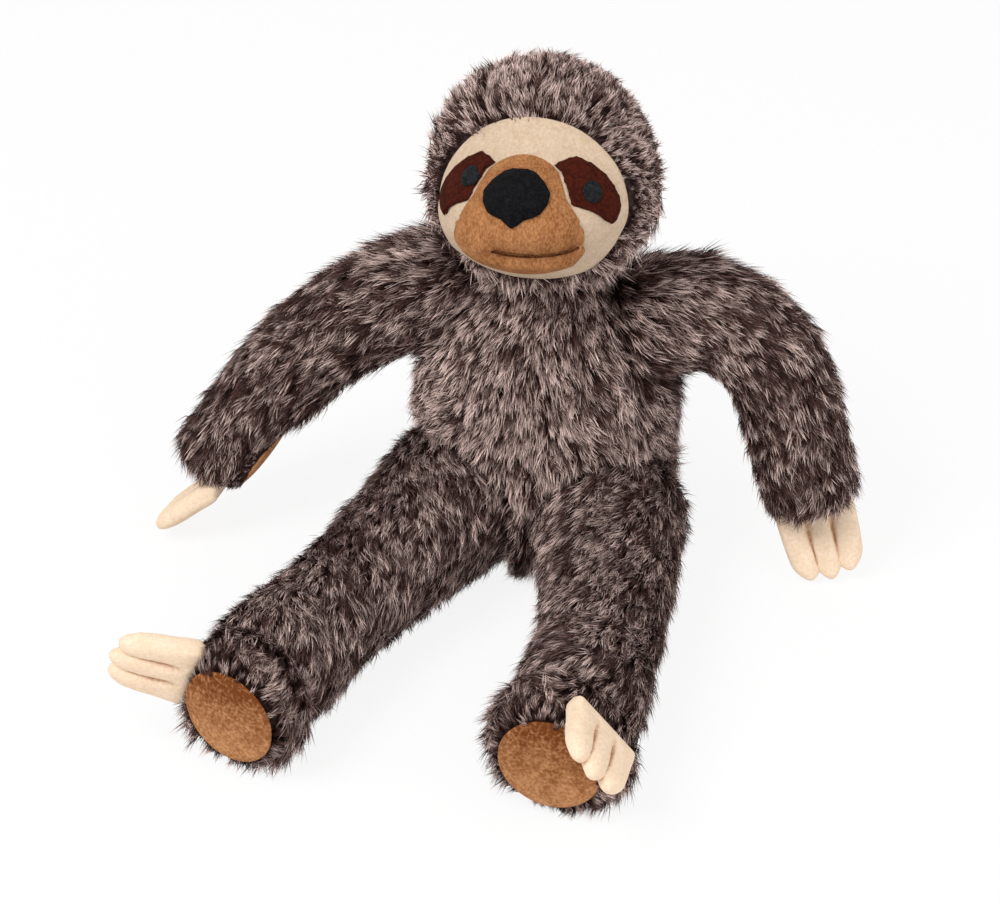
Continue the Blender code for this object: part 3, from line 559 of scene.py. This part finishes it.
belly = share_of(-facing[:, 1] * BELLY_TURN) * share_of(rise * BELLY_RISE)
belly = belly * np.clip((BELLY_TOP - rise) / BELLY_FADE, NECK_LEAST, 1)
brush(torso, comb, share_of(1 - bare), SEAT_LENGTH + (1 - SEAT_LENGTH) * share_of(rise / SEAT_TOP),
      TORSO_FROST + BELLY_FROST * belly - LEFT_FROST * leftwards(spots))
middle = float((low.y + high.y) / 2)
grow_pile("torso_pile_front", torso, "torso", seed=11, keep=lambda spot: spot.y < middle)
grow_pile("torso_pile_back_left", torso, "torso", seed=12,
          keep=lambda spot: spot.y >= middle and spot.x > 0)
grow_pile("torso_pile_back_right", torso, "torso", seed=13,
          keep=lambda spot: spot.y >= middle and spot.x <= 0)
dress(torso, "torso", "torso_skin", "torso_filling")


# Head
# A stuffed ball of the same pile cloth round the sewn face, brushed back from it on every side.
# It is fuller on the sloth's right and slack on its left, and long jowls hang over the neck.

HEAD_NECK_BARE = 26.5 * MM
HEAD_SLACK = 2.2 * MM
HEAD_FROST = 0.72
FACE_SECTORS = 48
FACE_FIRM = 4
JOWL_TOP = 5 * MM
JOWL_FADE = 20 * MM
JOWL_LENGTH = 0.5
JOWL_FALL = 0.8
NAPE_FALL = (0, 0.35, -0.35)
FACE_LENGTH = 0.6
LEFT_SHORT = 0.2
TOP_SHORT = 0.15
# Angles past the face's edge, as seen from the head's middle, where each of these starts or ends.
PILE_START = 0.045
PILE_FADE = 0.02
PILE_FULL = 0.3
JOWL_FULL = 0.25
FIRM_END = 0.25
SLACK_FULL = 0.4

head = backing_cloth("head_cloth", ["head_skin", "head_filling"])
spots = coordinates(head.data)
facing = normals_of(head.data)
panel = coordinates(node_mesh("face_panel"))
face_middle = panel.mean(axis=0)
head_low, head_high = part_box("head_skin")
head_middle = np.array((head_low + head_high) / 2)
face_way = unit((face_middle - head_middle)[None])[0]
across_face = np.array((1.0, 0.0, 0.0))
up_face = np.cross(across_face, face_way)
up_face = up_face if up_face[2] > 0 else -up_face


def face_polar(points):
    """(angle round the face's middle, angle away from it) as seen from the head's middle."""
    ways = unit(points - head_middle)
    side = ways @ across_face
    up = ways @ up_face
    return np.arctan2(up, side), np.arccos(np.clip(ways @ face_way, -1, 1))


def face_edge(turns):
    """How far the edge of the face lies from its middle, at each angle round it."""
    panel_turns, panel_away = face_polar(panel)
    sector = ((panel_turns + pi) / (2 * pi) * FACE_SECTORS).astype(int) % FACE_SECTORS
    known = np.unique(sector)
    edge = np.array([panel_away[sector == each].max() for each in known])
    middles = (known + 0.5) / FACE_SECTORS * 2 * pi - pi
    return np.interp(turns, middles, edge, period=2 * pi)


turns, away = face_polar(spots)
past_edge = away - face_edge(turns)
jowl = share_of((head_middle[2] + JOWL_TOP - spots[:, 2]) / JOWL_FADE)
jowl = jowl * share_of(past_edge / JOWL_FULL)
comb = unit(spots - face_middle) + np.array(NAPE_FALL) * share_of(away - 1)[:, None]
comb = comb - jowl[:, None] * np.array((0, 0, JOWL_FALL))
cover = share_of((past_edge - PILE_START) / PILE_FADE)
cover = cover * (1 - near(spots, pivot("neck_nod"), HEAD_NECK_BARE, BARE_FADE))
length = FACE_LENGTH + (1 - FACE_LENGTH) * share_of(past_edge / PILE_FULL) + JOWL_LENGTH * jowl
length = length * (1 - LEFT_SHORT * leftwards(spots) * (1 - jowl))
length = length * (1 - TOP_SHORT * share_of(facing[:, 2]))
slack = HEAD_SLACK * leftwards(spots) * share_of(past_edge / SLACK_FULL)
move_to(head.data, spots - slack[:, None] * facing)
brush(head, comb, cover, length, HEAD_FROST,
      firm=FACE_FIRM * share_of(1 - past_edge / FIRM_END))
grow_pile("head_pile_left", head, "head", seed=21, keep=lambda spot: spot.x > 0)
grow_pile("head_pile_right", head, "head", seed=22, keep=lambda spot: spot.x <= 0)
dress(head, "head", "head_skin", "head_filling")


# Arms and legs
# Stuffed tubes of the pile cloth, each brushed towards its paw, darker than the belly.
# No pile grows under the palm and sole pads or where the claws are sewn in.

LIMB_SLICE = 4 * MM
LIMB_STEPS = 25


def limb_line(spots, start, end):
    """Points down the middle of a limb and its headings, as a bent line through its solid."""
    to_start = np.linalg.norm(spots - start, axis=1)
    to_end = np.linalg.norm(spots - end, axis=1)
    middle = spots[np.abs(to_start - to_end) < LIMB_SLICE].mean(axis=0)
    control = 2 * middle - (start + end) / 2
    shares = np.linspace(0, 1, LIMB_STEPS)[:, None]
    points = (1 - shares) ** 2 * start + 2 * shares * (1 - shares) * control + shares ** 2 * end
    headings = unit(2 * (1 - shares) * (control - start) + 2 * shares * (end - control))
    return points, headings


def pad_frame(node):
    """A pad's (middle, way out, ways along and across, half length, half width).

    It is thinnest along the way out.
    """
    spots = coordinates(node_mesh(node))
    middle = spots.mean(axis=0)
    _sizes, ways = np.linalg.eigh(np.cov((spots - middle).T))
    halves = np.abs((spots - middle) @ ways).max(axis=0)
    return middle, ways[:, 0], ways[:, 2], ways[:, 1], halves[2], halves[1]


def gaps(spots, others):
    """The distance from each spot to each of the others."""
    return np.linalg.norm(spots[:, None] - others[None], axis=2)


# Both kinds: the pad's rim stands up under its edge, and the pile parts round it.
PAD_SEAT = 2.6 * MM
RIM_WIDTH = 8 * MM
RIM_REACH = 9 * MM
RIM_SPREAD = 0.7
RIM_FIRM = 3
PAD_BARE = 2.4 * MM
PAD_DEPTH = 5 * MM
CLAW_BARE = 1.5 * MM
CLAW_FADE = 9 * MM
CLAW_LENGTH = 0.35
BALL_BARE = 0.6
BALL_FADE = 4 * MM
LIMB_OUT = 0.15
LIMB_FALL = 0.3
# Legs: a cuff of upright pile round the sole, gathered at a crease, and thighs full inside.
CUFF_DEPTH = 24 * MM
CUFF_OUT = 0.7
CUFF_FORWARD = 0.3
CUFF_LENGTH = 0.12
CUFF_STAND = 0.45
CREASE_WIDTH = 8 * MM
CREASE_DEPTH = 3.5 * MM
CREASE_SHORT = 0.6
THIGH_NEAR = 25 * MM
THIGH_FADE = 60 * MM
THIGH_SWELL = {"left": 4 * MM, "right": 4.5 * MM}
LEG_INWARD = 0.55
LEG_FROST = 0.35
LEG_RIM_SHORT = 0.35
LEG_RIM_STAND = 0.2
LEG_LAY = 0.02
# Arms: longer pile on top of the shoulder, and short pile round the palm.
ROOT_NEAR = 8 * MM
ROOT_FADE = 30 * MM
ROOT_LENGTH = 0.35
ROOT_STAND = 0.4
ROOT_TURN = 1.5
ARM_FROST = 0.29
ARM_RIM_SHORT = 0.75
ARM_LAY = 0.12
# Points of the limb's line, counted from its end, that lie inside the paw behind its pad.
BEHIND_SOLE = -3
BEHIND_PALM = -6


def make_limb(kind, side, seed):
    """A limb: its backing is shaped round the pad, then brushed from the root to the paw."""
    leg = kind == "leg"
    socket, pad, paw = ("hip", "sole", "foot") if leg else ("shoulder", "palm", "hand")
    limb = f"{kind}_{side}"
    solids = [f"{kind}_skin_{side}", f"{kind}_filling_{side}"]
    cloth = backing_cloth(limb + "_cloth", solids)
    spots = coordinates(cloth.data)
    facing = normals_of(cloth.data)
    inner_way = np.array((-1 if side == "left" else 1, 0, 0))

    pad_middle, pad_way, pad_along, pad_across, half_length, half_width = pad_frame(
        f"{pad}_pad_{side}")
    start = pivot(f"{socket}_{side}")
    points, headings = limb_line(spots, start, pad_middle if leg else pivot(f"{paw}_seam_{side}"))
    if pad_way @ (pad_middle - points[BEHIND_SOLE if leg else BEHIND_PALM]) < 0:
        pad_way = -pad_way
    from_pad = spots - pad_middle
    level = from_pad @ pad_way
    flat = from_pad - level[:, None] * pad_way
    pad_turn = np.hypot(from_pad @ pad_along / half_length, from_pad @ pad_across / half_width)
    past_rim = (pad_turn - 1) * half_width
    rim = share_of(1 - past_rim / RIM_WIDTH) * (np.abs(level) < RIM_REACH)
    crease = share_of(1 - np.abs(level + CUFF_DEPTH) / CREASE_WIDTH) * leg

    seat = rim * share_of(facing @ pad_way)
    moved = spots + (PAD_SEAT * seat)[:, None] * pad_way - (CREASE_DEPTH * crease)[:, None] * facing
    if leg:
        inner = share_of(facing @ inner_way) * near(spots, start, THIGH_NEAR, THIGH_FADE)
        moved = moved + (THIGH_SWELL[side] * inner)[:, None] * facing
    move_to(cloth.data, moved)

    under_pad = (past_rim < -PAD_BARE) & (level > -PAD_DEPTH)
    claw_gap = gaps(spots, coordinates(node_mesh(f"{paw}_claws_{side}"))[::6]).min(axis=1)
    by_claws = CLAW_LENGTH + (1 - CLAW_LENGTH) * share_of(claw_gap / CLAW_FADE)
    ball = near(spots, start, BALL_BARE * np.linalg.norm(points[0] - points[2]), BALL_FADE)
    cover = np.where(under_pad | (claw_gap < CLAW_BARE), 0, 1) * (1 - ball)

    nearest = gaps(spots, points).argmin(axis=1)
    inward = inner_way * (LEG_INWARD if leg else 0.0)
    comb = headings[nearest] + LIMB_OUT * facing + inward - np.array((0, 0, LIMB_FALL))
    comb = comb * (1 - RIM_SPREAD * rim[:, None]) + unit(flat) * RIM_SPREAD * rim[:, None]
    if leg:
        cuff = share_of(1 + level / CUFF_DEPTH) ** 0.5
        forward = CUFF_FORWARD * (1 - rim[:, None]) * pad_way
        comb = comb * (1 - cuff[:, None]) + cuff[:, None] * (unit(flat) * CUFF_OUT + forward)
        length = (1 - LEG_RIM_SHORT * rim) * by_claws
        length = length * (1 + CUFF_LENGTH * cuff) * (1 - CREASE_SHORT * crease)
        stand = LEG_RIM_STAND * rim - LEG_LAY + CUFF_STAND * cuff * (1 - rim)
    else:
        root = near(spots, start, ROOT_NEAR, ROOT_FADE) * share_of(facing[:, 2] * ROOT_TURN)
        length = (1 - ARM_RIM_SHORT * rim + ROOT_LENGTH * root) * by_claws
        stand = ROOT_STAND * root - ARM_LAY
    brush(cloth, comb, cover, length, LEG_FROST if leg else ARM_FROST, stand, RIM_FIRM * rim)

    if leg:
        middle, heading = points[LIMB_STEPS // 2], headings[LIMB_STEPS // 2]
        grow_pile(limb + "_pile_upper", cloth, limb, seed,
                  lambda spot: (np.array(spot) - middle) @ heading < 0)
        grow_pile(limb + "_pile_lower", cloth, limb, seed + 1,
                  lambda spot: (np.array(spot) - middle) @ heading >= 0)
    else:
        grow_pile(limb + "_pile", cloth, limb, seed)
    dress(cloth, limb, *solids)


make_limb("arm", "left", seed=31)
make_limb("leg", "left", seed=36)
make_limb("arm", "right", seed=41)
make_limb("leg", "right", seed=46)


# Face
# A stuffed panel of cream cloth with a short nap, sewn into the pile round its edge.
# A stuffed tan muzzle and two chestnut patches are sewn on it. The nap is pressed in their seams.

CREAM = (0.61, 0.475, 0.355)
CREAM_SHADE = (0.50, 0.365, 0.25)
MUZZLE_TAN = (0.455, 0.21, 0.087)
MUZZLE_SHADE = (0.215, 0.077, 0.025)
TAN_DARK = (0.15, 0.042, 0.010)
CHESTNUT = (0.068, 0.011, 0.0045)
CHESTNUT_SHADE = (0.022, 0.004, 0.002)
PATCH_SHARE = 0.35
PATCH_SCALE = 190.0
GRAIN_PER_FIBRE = 0.3
DARKENING_LEAST = 0.55
DARKENING_WITH_MOTTLE = 0.9
NAP_FIBRE = 0.35 * MM
MUZZLE_FIBRE = 0.2 * MM
MUZZLE_STRETCH = (1, 0.75, 0.5)


def nap_material(name, colour, shade, darkest, fibre=NAP_FIBRE, stretch=(1, 1, 1)):
    """Short brushed nap, darker in patches, in a grain of fine fibres, and darkened where the mesh
    says so.
    """
    material, nodes, shader = surface(name, roughness=0.95, specular=0.08)
    place = nodes.add("ShaderNodeTexCoord", output="Object")
    place = nodes.add("ShaderNodeVectorMath", {0: place, 1: stretch}, operation="MULTIPLY")
    brushed = nodes.add("ShaderNodeTexNoise", {"Vector": place, "Scale": PATCH_SCALE,
                                               "Detail": 4.0, "Distortion": 0.6})
    grain = nodes.add("ShaderNodeTexNoise", {"Vector": place, "Scale": GRAIN_PER_FIBRE / fibre,
                                             "Detail": 3.0})
    patches = nodes.add("ShaderNodeMapRange", {"Value": brushed, "From Min": 0.38,
                                               "From Max": 0.64})
    speckle = nodes.add("ShaderNodeMapRange", {"Value": grain, "From Min": 0.36, "From Max": 0.64})
    share = patches * PATCH_SHARE + speckle * (1 - PATCH_SHARE)
    # The nap is mixed towards its darkest colour by a per-spot attribute: painted shade in the
    # claws' channels and round the nose and mouth, and a darker top on the soles.
    dye = nodes.add("ShaderNodeAttribute", output="Fac", attribute_name="dye")
    dye = nodes.add("ShaderNodeClamp", {"Value": dye * (DARKENING_LEAST + share * DARKENING_WITH_MOTTLE)})
    nap = nodes.mix(share, (*colour, 1), (*shade, 1))
    mixed = nodes.mix(dye, nap, (*darkest, 1))
    finish_surface(nodes, shader, mixed, grain, fibre, bump_strength=0.6)
    return material


CREAM_NAP = nap_material("cream_nap", CREAM, CREAM_SHADE, CREAM_SHADE)
MUZZLE_NAP = nap_material("muzzle_nap", MUZZLE_TAN, MUZZLE_SHADE, TAN_DARK, MUZZLE_FIBRE,
                          MUZZLE_STRETCH)
CHESTNUT_NAP = nap_material("chestnut_nap", CHESTNUT, CHESTNUT_SHADE, CHESTNUT_SHADE)

HOLLOW_DEPTH = 0.25 * MM
HOLLOW_ROUNDS = 6


def hollows(mesh):
    """1 in the hollows of a mesh, 0 on its swells."""
    ends = np.empty(len(mesh.edges) * 2, np.int32)
    mesh.edges.foreach_get("vertices", ends)
    first, second = ends.reshape(-1, 2).T
    shared = np.bincount(ends, minlength=len(mesh.vertices))[:, None]
    spots = coordinates(mesh).astype(float)
    evened = spots
    for _ in range(HOLLOW_ROUNDS):
        total = np.zeros_like(evened)
        np.add.at(total, first, evened[second])
        np.add.at(total, second, evened[first])
        evened = total / shared
    return share_of(((evened - spots) * normals_of(mesh)).sum(axis=1) / HOLLOW_DEPTH)


PAIR_ANGLE = radians(35)
PAIR_SHAPE = radians(60)
RIM_ANGLE = radians(50)
RIM_CREASE = 0.35
FINER_LEVELS = 2


def finer(node, name, material, body, swell=0.0, dye=None, hollow_shade=0.0):
    """A finer copy of a node: its triangles are paired and its rim kept, then it is subdivided.

    Outside its hollows it is swelled, by a number or by what swell gives for each spot.
    """
    mesh = copy_of([node])
    builder = bmesh.new()
    builder.from_mesh(mesh)
    bmesh.ops.join_triangles(builder, faces=builder.faces, angle_face_threshold=PAIR_ANGLE,
                             angle_shape_threshold=PAIR_SHAPE)
    crease = builder.edges.layers.float.new("crease_edge")
    for edge in builder.edges:
        if len(edge.link_faces) == 2 and edge.calc_face_angle(0) > RIM_ANGLE:
            edge[crease] = RIM_CREASE
    builder.to_mesh(mesh)
    builder.free()
    made = new_object(name, mesh, material)
    smooth = made.modifiers.new("finer", "SUBSURF")
    smooth.levels = FINER_LEVELS
    smooth.render_levels = FINER_LEVELS
    settled(made)
    made.data.shade_smooth()
    spots = coordinates(made.data)
    facing = normals_of(made.data)
    hollow = hollows(made.data)
    # Darker nap: what the given function gives for each spot, or painted shade in the hollows at
    # the given share.
    set_attribute(made.data, "dye", dye(spots) if dye else hollow_shade * hollow)
    lift = swell(spots, facing) if callable(swell) else swell
    move_to(made.data, spots + (lift * (1 - hollow))[:, None] * facing)
    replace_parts(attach(made, body), node)


# The chin and the lip hang lower on the sloth's right.
CHIN_SWELL = 2.8 * MM
CHIN_MORE = 0.6
CHIN_START = 12 * MM
CHIN_FADE = 14 * MM
CHIN_SLANT = 5 * MM
CHIN_RIGHT = 25 * MM
LIP_SWELL = 3.4 * MM
LIP_FOLD = 2.5 * MM
JOWL_RISE = 9 * MM
# Shares of the mouth's half width: where the jowl starts, and where the lip ends on the left.
JOWL_START = 0.95
JOWL_WIDTH = 0.4
LIP_END = 1.15
LIP_FADE = 0.65


def in_front(facing):
    """1 where the face's cloth faces forwards, 0 where it turns back into its seam."""
    return share_of(1 + 2 * facing @ face_way)


def chin_swell(spots, facing):
    """The stuffed panel is drawn down over the chin."""
    to_right = share_of((face_middle - spots) @ across_face / CHIN_RIGHT)
    below = (face_middle - spots) @ up_face + CHIN_SLANT * to_right - CHIN_START
    return CHIN_SWELL * (1 + CHIN_MORE * to_right) * share_of(below / CHIN_FADE) * in_front(facing)


def lip_swell(spots, facing):
    """The lip stands out below the mouth and runs on into the jowl on the sloth's right."""
    mouth = coordinates(node_mesh("mouth_stitch"))
    nearest = mouth[gaps(spots, mouth).argmin(axis=1)]
    below = ((nearest - spots) * up_face).sum(axis=1)
    to_left = (spots - mouth.mean(axis=0)) @ across_face / (np.ptp(mouth @ across_face) / 2)
    jowl = share_of((-to_left - JOWL_START) / JOWL_WIDTH)
    fade = share_of((LIP_END - to_left) / LIP_FADE)
    lip = share_of((below + JOWL_RISE * jowl) / (LIP_FOLD + JOWL_RISE * jowl))
    lip = lip ** 2 * (3 - 2 * lip)
    return LIP_SWELL * fade * lip * in_front(facing)


# Painted shade on the muzzle: how dark and how far from the nose and from the mouth.
NOSE_PAINTED_SHADE = 0.35
NOSE_SHADE_REACH = 5 * MM
MOUTH_PAINTED_SHADE = 0.5
MOUTH_SHADE_REACH = 3 * MM


def muzzle_painted_shade(spots):
    """Painted shade beside the raised nose and in the crease round the sunk mouth stitch."""
    to_nose = gaps(spots, coordinates(node_mesh("nose"))[::2]).min(axis=1)
    to_mouth = gaps(spots, coordinates(node_mesh("mouth_stitch"))[::2]).min(axis=1)
    return (NOSE_PAINTED_SHADE * share_of(1 - to_nose / NOSE_SHADE_REACH)
            + MOUTH_PAINTED_SHADE * share_of(1 - to_mouth / MOUTH_SHADE_REACH))


finer("face_panel", "face_cloth", CREAM_NAP, "head", swell=chin_swell)
finer("muzzle", "muzzle_cloth", MUZZLE_NAP, "head", swell=lip_swell,
      dye=muzzle_painted_shade)
for side in SIDES:
    finer("eye_patch_" + side, "patch_cloth_" + side, CHESTNUT_NAP, "head")


# Nose, eyes and mouth
# The nose and eyes are filled with dark embroidery thread, laid close and crossing a little.
# The mouth is one line of brown stitches, pulled down into the muzzle.

# Each thread's second colour is a painted highlight on its strands; the brown thread's is TAN_DARK.
THREAD_BLACK = (0.003, 0.0026, 0.003)
THREAD_PAINTED_GLINT = (0.011, 0.010, 0.012)
EYE_GREY = (0.008, 0.0085, 0.009)
EYE_PAINTED_GLINT = (0.027, 0.029, 0.031)
THREAD_BROWN = (0.045, 0.013, 0.005)
THREAD_RELIEF = 0.7 * MM
THREAD_SCALE = 650.0
NOSE_SWELL = 0.8 * MM
MOUTH_SINK = 0.3 * MM


def thread_material(name, colour, painted_glint):
    """Laid thread: fine crossing strands with a soft gloss and a paler glint painted along them."""
    material, nodes, shader = surface(name, roughness=0.7, specular=0.05)
    place = nodes.add("ShaderNodeTexCoord", output="Object")
    strands = nodes.add("ShaderNodeTexNoise", {"Vector": place, "Scale": THREAD_SCALE,
                                               "Detail": 4.0, "Distortion": 1.5})
    share = nodes.add("ShaderNodeMapRange", {"Value": strands, "From Min": 0.4, "From Max": 0.75})
    mixed = nodes.mix(share, (*colour, 1), (*painted_glint, 1))
    finish_surface(nodes, shader, mixed, strands, THREAD_RELIEF, bump_strength=0.9)
    return material


# The second colour given to each thread is its painted glint.
BLACK_THREAD = thread_material("black_thread_laid", THREAD_BLACK, THREAD_PAINTED_GLINT)
EYE_THREAD = thread_material("eye_thread_laid", EYE_GREY, EYE_PAINTED_GLINT)
BROWN_THREAD = thread_material("brown_thread_laid", THREAD_BROWN, TAN_DARK)
finer("nose", "nose_thread", BLACK_THREAD, "head", swell=NOSE_SWELL)
for side in SIDES:
    finer("eye_" + side, "eye_thread_" + side, EYE_THREAD, "head")
finer("mouth_stitch", "mouth_thread", BROWN_THREAD, "head", swell=-MOUTH_SINK)


# Palm and sole pads
# Crowned ovals of tan short-nap cloth, lightly stuffed and sewn flat on the paws.
# The soles are darker towards the top.

TAN = (0.58, 0.29, 0.135)
TAN_SHADE = (0.30, 0.12, 0.042)
TAN_NAP = nap_material("tan_nap", TAN, TAN_SHADE, TAN_DARK)
SOLE_DARKENING = 1.1
SOLE_DARKENING_RISE = 1.3


# Each sole is darker towards its top.
def sole_darkening(spots):
    rise = (spots[:, 2] - spots[:, 2].min()) / np.ptp(spots[:, 2])
    return SOLE_DARKENING * rise ** SOLE_DARKENING_RISE


for side in SIDES:
    finer("palm_pad_" + side, "palm_cloth_" + side, TAN_NAP, "arm_" + side)
    finer("sole_pad_" + side, "sole_cloth_" + side, TAN_NAP, "leg_" + side,
          dye=sole_darkening)


# Claws
# Three padded fingers of cream cloth, cut as one piece and parted by two stitched channels.
# Each piece is sewn into the seam of its hand or foot, and shade is painted into its channels.

CLAW_CREAM = (0.89, 0.70, 0.53)
CLAW_SHADE = (0.78, 0.585, 0.41)
# Painted shade: the claws' nap is mixed towards this colour in their hollows, the stitched
# channels.
CLAW_CHANNEL_SHADE = (0.42, 0.20, 0.075)
CLAW_NAP = nap_material("claw_nap", CLAW_CREAM, CLAW_SHADE, CLAW_CHANNEL_SHADE)
CLAW_SWELL = 1.1 * MM
CHANNEL_PAINTED_SHADE = 0.8

for side in SIDES:
    for paw in ("hand", "foot"):
        finer(f"{paw}_claws_{side}", f"{paw}_claw_cloth_{side}", CLAW_NAP,
              f"claws_{paw}_{side}", swell=CLAW_SWELL, hollow_shade=CHANNEL_PAINTED_SHADE)


# Floor, light and camera
# A white floor that keeps the sloth's shadow, a bright even room and two large soft lamps.
# The sloth is seen from above and a little from its left, through a long lens.

FLOOR_SIZE = 6.0
FLOOR_WHITE = 0.9
FLOOR_GLOW = 0.88
ROOM_LIGHT = 0.62
LAMP_AIM = (0, -0.03, 0.08)


def camera_ray_share(nodes):
    """1 where the camera, a mirror or glass sees the surface, 0 where it only gives light."""
    camera, glossy, through = (nodes.add("ShaderNodeLightPath", output=kind) for kind in (
        "Is Camera Ray", "Is Glossy Ray", "Is Transmission Ray"))
    return camera.at_least(glossy).at_least(through)


def white_floor():
    """A pale floor that is seen nearly white."""
    material = bpy.data.materials.new("white_floor")
    material.use_nodes = True
    nodes = Nodes(material.node_tree)
    shader = material.node_tree.nodes["Principled BSDF"]
    shader.inputs["Base Color"].default_value = (FLOOR_WHITE, FLOOR_WHITE, FLOOR_WHITE, 1)
    shader.inputs["Roughness"].default_value = 1
    lit = Socket(nodes, shader.outputs["BSDF"])
    bright = nodes.add("ShaderNodeEmission", {"Color": (1, 1, 1, 1), "Strength": 1.0})
    mixed = nodes.add("ShaderNodeMixShader", {
        0: camera_ray_share(nodes) * FLOOR_GLOW, 1: lit, 2: bright})
    output = material.node_tree.nodes["Material Output"]
    material.node_tree.links.new(mixed.socket, output.inputs["Surface"])
    builder = bmesh.new()
    bmesh.ops.create_grid(builder, x_segments=1, y_segments=1, size=FLOOR_SIZE / 2)
    mesh = bpy.data.meshes.new("floor")
    builder.to_mesh(mesh)
    builder.free()
    new_object("floor", mesh, material)


def room():
    """An even white world, which is seen brighter than it lights."""
    world = bpy.data.worlds.new("room")
    bpy.context.scene.world = world
    world.use_nodes = True
    nodes = Nodes(world.node_tree)
    strength = camera_ray_share(nodes) * (1 - ROOM_LIGHT) + ROOM_LIGHT
    background = world.node_tree.nodes["Background"]
    background.inputs["Color"].default_value = (1, 1, 1, 1)
    world.node_tree.links.new(strength.socket, background.inputs["Strength"])


def lamp(name, place, size, power):
    """A round soft lamp, turned to the sloth."""
    light = bpy.data.lights.new(name, "AREA")
    light.shape = "DISK"
    light.size = size
    light.energy = power
    made = bpy.data.objects.new(name, light)
    bpy.context.scene.collection.objects.link(made)
    made.location = place
    made.rotation_euler = (Vector(LAMP_AIM) - Vector(place)).to_track_quat("-Z", "Y").to_euler()


white_floor()
room()
lamp("main_lamp", place=(-0.5, -0.7, 1.1), size=0.7, power=11)
lamp("side_lamp", place=(0.9, -0.5, 0.7), size=0.8, power=4)

VIEW_AZIMUTH = radians(13.5)
VIEW_ELEVATION = radians(35)
VIEW_DISTANCE = 1.4
VIEW_LENS = 132
AIM_RIGHT = -15.6 * MM
AIM_UP = 32.7 * MM

right = Vector((cos(VIEW_AZIMUTH), sin(VIEW_AZIMUTH), 0))
back = Vector((sin(VIEW_AZIMUTH) * cos(VIEW_ELEVATION), -cos(VIEW_AZIMUTH) * cos(VIEW_ELEVATION),
               sin(VIEW_ELEVATION)))
up = back.cross(right)
camera = bpy.data.objects.new("camera", bpy.data.cameras.new("camera"))
bpy.context.scene.collection.objects.link(camera)
camera.data.lens = VIEW_LENS
turned = Matrix((right, up, back)).transposed().to_4x4()
place = right * AIM_RIGHT + up * AIM_UP + back * VIEW_DISTANCE
camera.matrix_world = Matrix.Translation(place) @ turned
bpy.context.scene.camera = camera
bpy.context.scene.view_settings.view_transform = "Standard"
